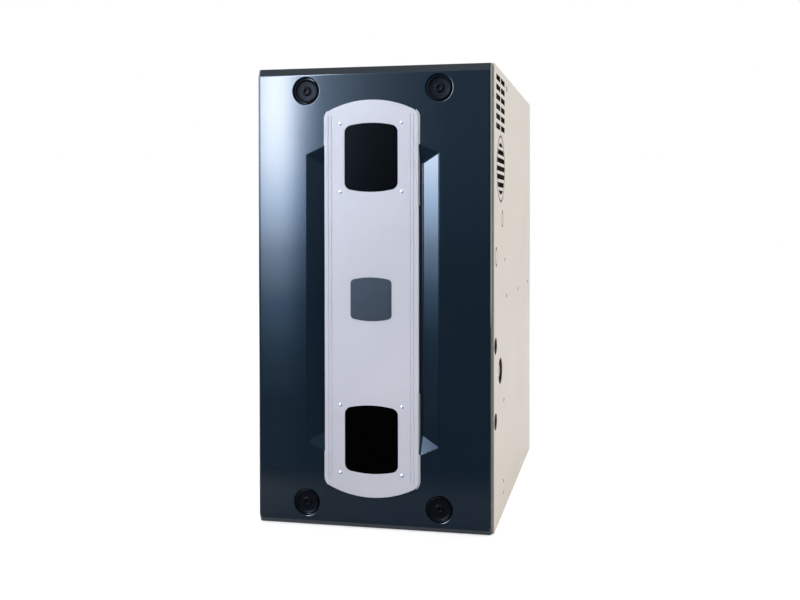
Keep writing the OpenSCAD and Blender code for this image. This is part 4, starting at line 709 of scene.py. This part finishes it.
# ---------------------------------------------------------------- rest of the cabinet and its inside
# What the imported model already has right: folded sheets, pipes, exchangers, controls and the blower.
# Each keeps its shape and gets its own finish, with a fine rounded edge on the pressed sheets.


def dress(finish, *nodes, edge=0):
    """Gives CAD nodes a finish, and their sharp edges a small round, in mm."""
    for name in nodes:
        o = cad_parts[name]
        o.data.materials.clear()
        o.data.materials.append(finish)
        if edge:
            weld = o.modifiers.new("weld", "WELD")
            weld.merge_threshold = 1e-5
            bevel = o.modifiers.new("edge", "BEVEL")
            bevel.width, bevel.segments = edge / 1000, 2
            bevel.limit_method, bevel.angle_limit = "ANGLE", math.radians(50)


# Galvanised sheet: cool grey zinc with broad crystal spangles.
galvanised = material("galvanised_sheet", "#b3b7ba", 0.42, metallic=0.85, spread=0.12, patch=9, grain=4,
                      depth=0.006, speck=0.25)
# Foil facing: bright crinkled aluminium over mineral wool.
foil = material("foil_facing", "#c8cbcd", 0.30, metallic=0.9, spread=0.06, patch=25, grain=7,
                depth=0.5, speck=0.3)
# Aluminised steel: dull silver tubes with heat-stained patches.
aluminised = material("aluminised_steel", "#95999a", 0.46, metallic=0.85, spread=0.22, patch=45,
                      grain=1.2,
                      depth=0.01)
# Coil fins: thin matt aluminium.
fin_metal = material("fin_aluminium", "#bfc3c6", 0.40, metallic=0.9, spread=0.08, patch=20,
                     grain=0.8, depth=0.01)
# Glass-filled moulding: dark grey plastic with a mottled skin.
moulding = material("filled_moulding", "#26282b", 0.5, spread=0.25, patch=14, grain=1.0, depth=0.05)
# Motor enamel: thick semi-gloss black with small runs.
motor_enamel = material("motor_enamel", "#1e2124", 0.34, spread=0.15, patch=30, grain=3, depth=0.05)
# Bare steel: rolled sheet with long rolling lines.
bare_steel = material("rolled_steel", "#9ea2a4", 0.36, metallic=0.95, spread=0.08, patch=40, grain=1.4,
                      depth=0.008, stretch=(0.15, 1, 1))
# Vent pipe plastic: dark grey extrusion with drawn lines.
pipe_plastic = material("pipe_plastic", "#2a2b2c", 0.42, spread=0.10, grain=0.8, depth=0.01,
                        stretch=(1, 1, 0.1))
# Yellow brass: warm metal dulled by handling.
brass = material("yellow_brass", "#b8944d", 0.32, metallic=1.0, spread=0.15, patch=18, grain=1.0,
                 depth=0.01)
# Sand-cast aluminium: pale, matt and pitted.
cast = material("cast_aluminium", "#a9abad", 0.48, metallic=0.8, spread=0.10, patch=12, grain=1.6,
                depth=0.12)
# Blue moulding: the valve's glossy knob.
blue_knob = material("blue_moulding", "#1b2f63", 0.28, spread=0.08, grain=1.0, depth=0.01)
# Fired ceramic: chalky off-white.
ceramic = material("fired_ceramic", "#ddd8cb", 0.62, spread=0.06, patch=10, grain=0.7, depth=0.03)
# Red moulding: the reset buttons' glossy plastic.
red_button = material("red_moulding", "#a8231b", 0.25, spread=0.06, grain=1.0, depth=0.005)
# Yellow zinc: passivated steel with a faint rainbow drift of gold.
yellow_zinc = material("yellow_zinc", "#b79f63", 0.36, metallic=0.9, spread=0.22, patch=16,
                       grain=1.0, depth=0.01)
# Silicone hose: matt brick red rubber.
silicone = material("silicone_hose", "#8e2a20", 0.55, spread=0.08, patch=12, grain=0.9, depth=0.02)
# White moulding: clean polypropylene with a soft sheen.
white_moulding = material("white_moulding", "#d9d9d4", 0.42, spread=0.05, patch=20, grain=0.9,
                          depth=0.02)
# Circuit board: green lacquer over copper tracks.
lacquer = material("green_lacquer", "#1f5a34", 0.38, spread=0.25, patch=5, grain=2.2, depth=0.04)
# Transformer: varnished laminations and brown tape.
varnish = material("varnished_steel", "#5c4030", 0.45, spread=0.20, patch=8, grain=0.7, depth=0.05,
                   stretch=(1, 1, 4))
# Black rubber: dull loom tape, drain hose and foam gasket.
rubber = material("black_rubber", "#131416", 0.72, spread=0.15, patch=10, grain=0.8, depth=0.05)
# Glass wool: straw-yellow board with a fibrous, uneven face.
glass_wool = material("glass_wool", "#b9a878", 0.9, spread=0.25, patch=9, grain=1.4, depth=0.6,
                      stretch=(0.5, 1, 1))

dress(cabinet_paint, "back_panel", "top_front_plate", edge=0.4)
dress(galvanised, "duct_flanges", "base_frame", "blower_deck", "vestibule_panel", "burner_box",
      "control_panel",
      "junction_box", "blower_rails", edge=0.4)
dress(foil, "insulation_liner", edge=1.0)
dress(aluminised, "primary_heat_exchanger", "burners")
dress(aluminised, "transition_box", edge=0.8)
dress(fin_metal, "secondary_coil")
dress(moulding, "inducer_housing", "collector_box", "door_switch", "rollout_switches", edge=0.6)
dress(motor_enamel, "inducer_motor", "blower_motor", edge=0.8)
dress(bare_steel, "inducer_wheel", "blower_wheel", "blower_scroll", "blower_shaft", "motor_mount",
      "blower_sides")
dress(pipe_plastic, "vent_pipe", "intake_pipe", edge=0.6)
dress(brass, "gas_manifold")
dress(cast, "gas_valve", "limit_switch", edge=0.8)
dress(blue_knob, "gas_valve_knob", edge=0.5)
dress(ceramic, "igniter", "flame_sensor", edge=0.4)
dress(red_button, "reset_button_left", "reset_button_right", edge=0.4)
dress(yellow_zinc, "pressure_switches", edge=0.6)
dress(silicone, "pressure_hoses")
dress(white_moulding, "door_switch_plunger", "condensate_trap", edge=0.5)
dress(lacquer, "control_board", edge=0.2)
dress(varnish, "transformer", edge=0.5)
dress(rubber, "wiring_harness", "drain_hoses", "door_gasket")
dress(glass_wool, "door_insulation", edge=1.0)
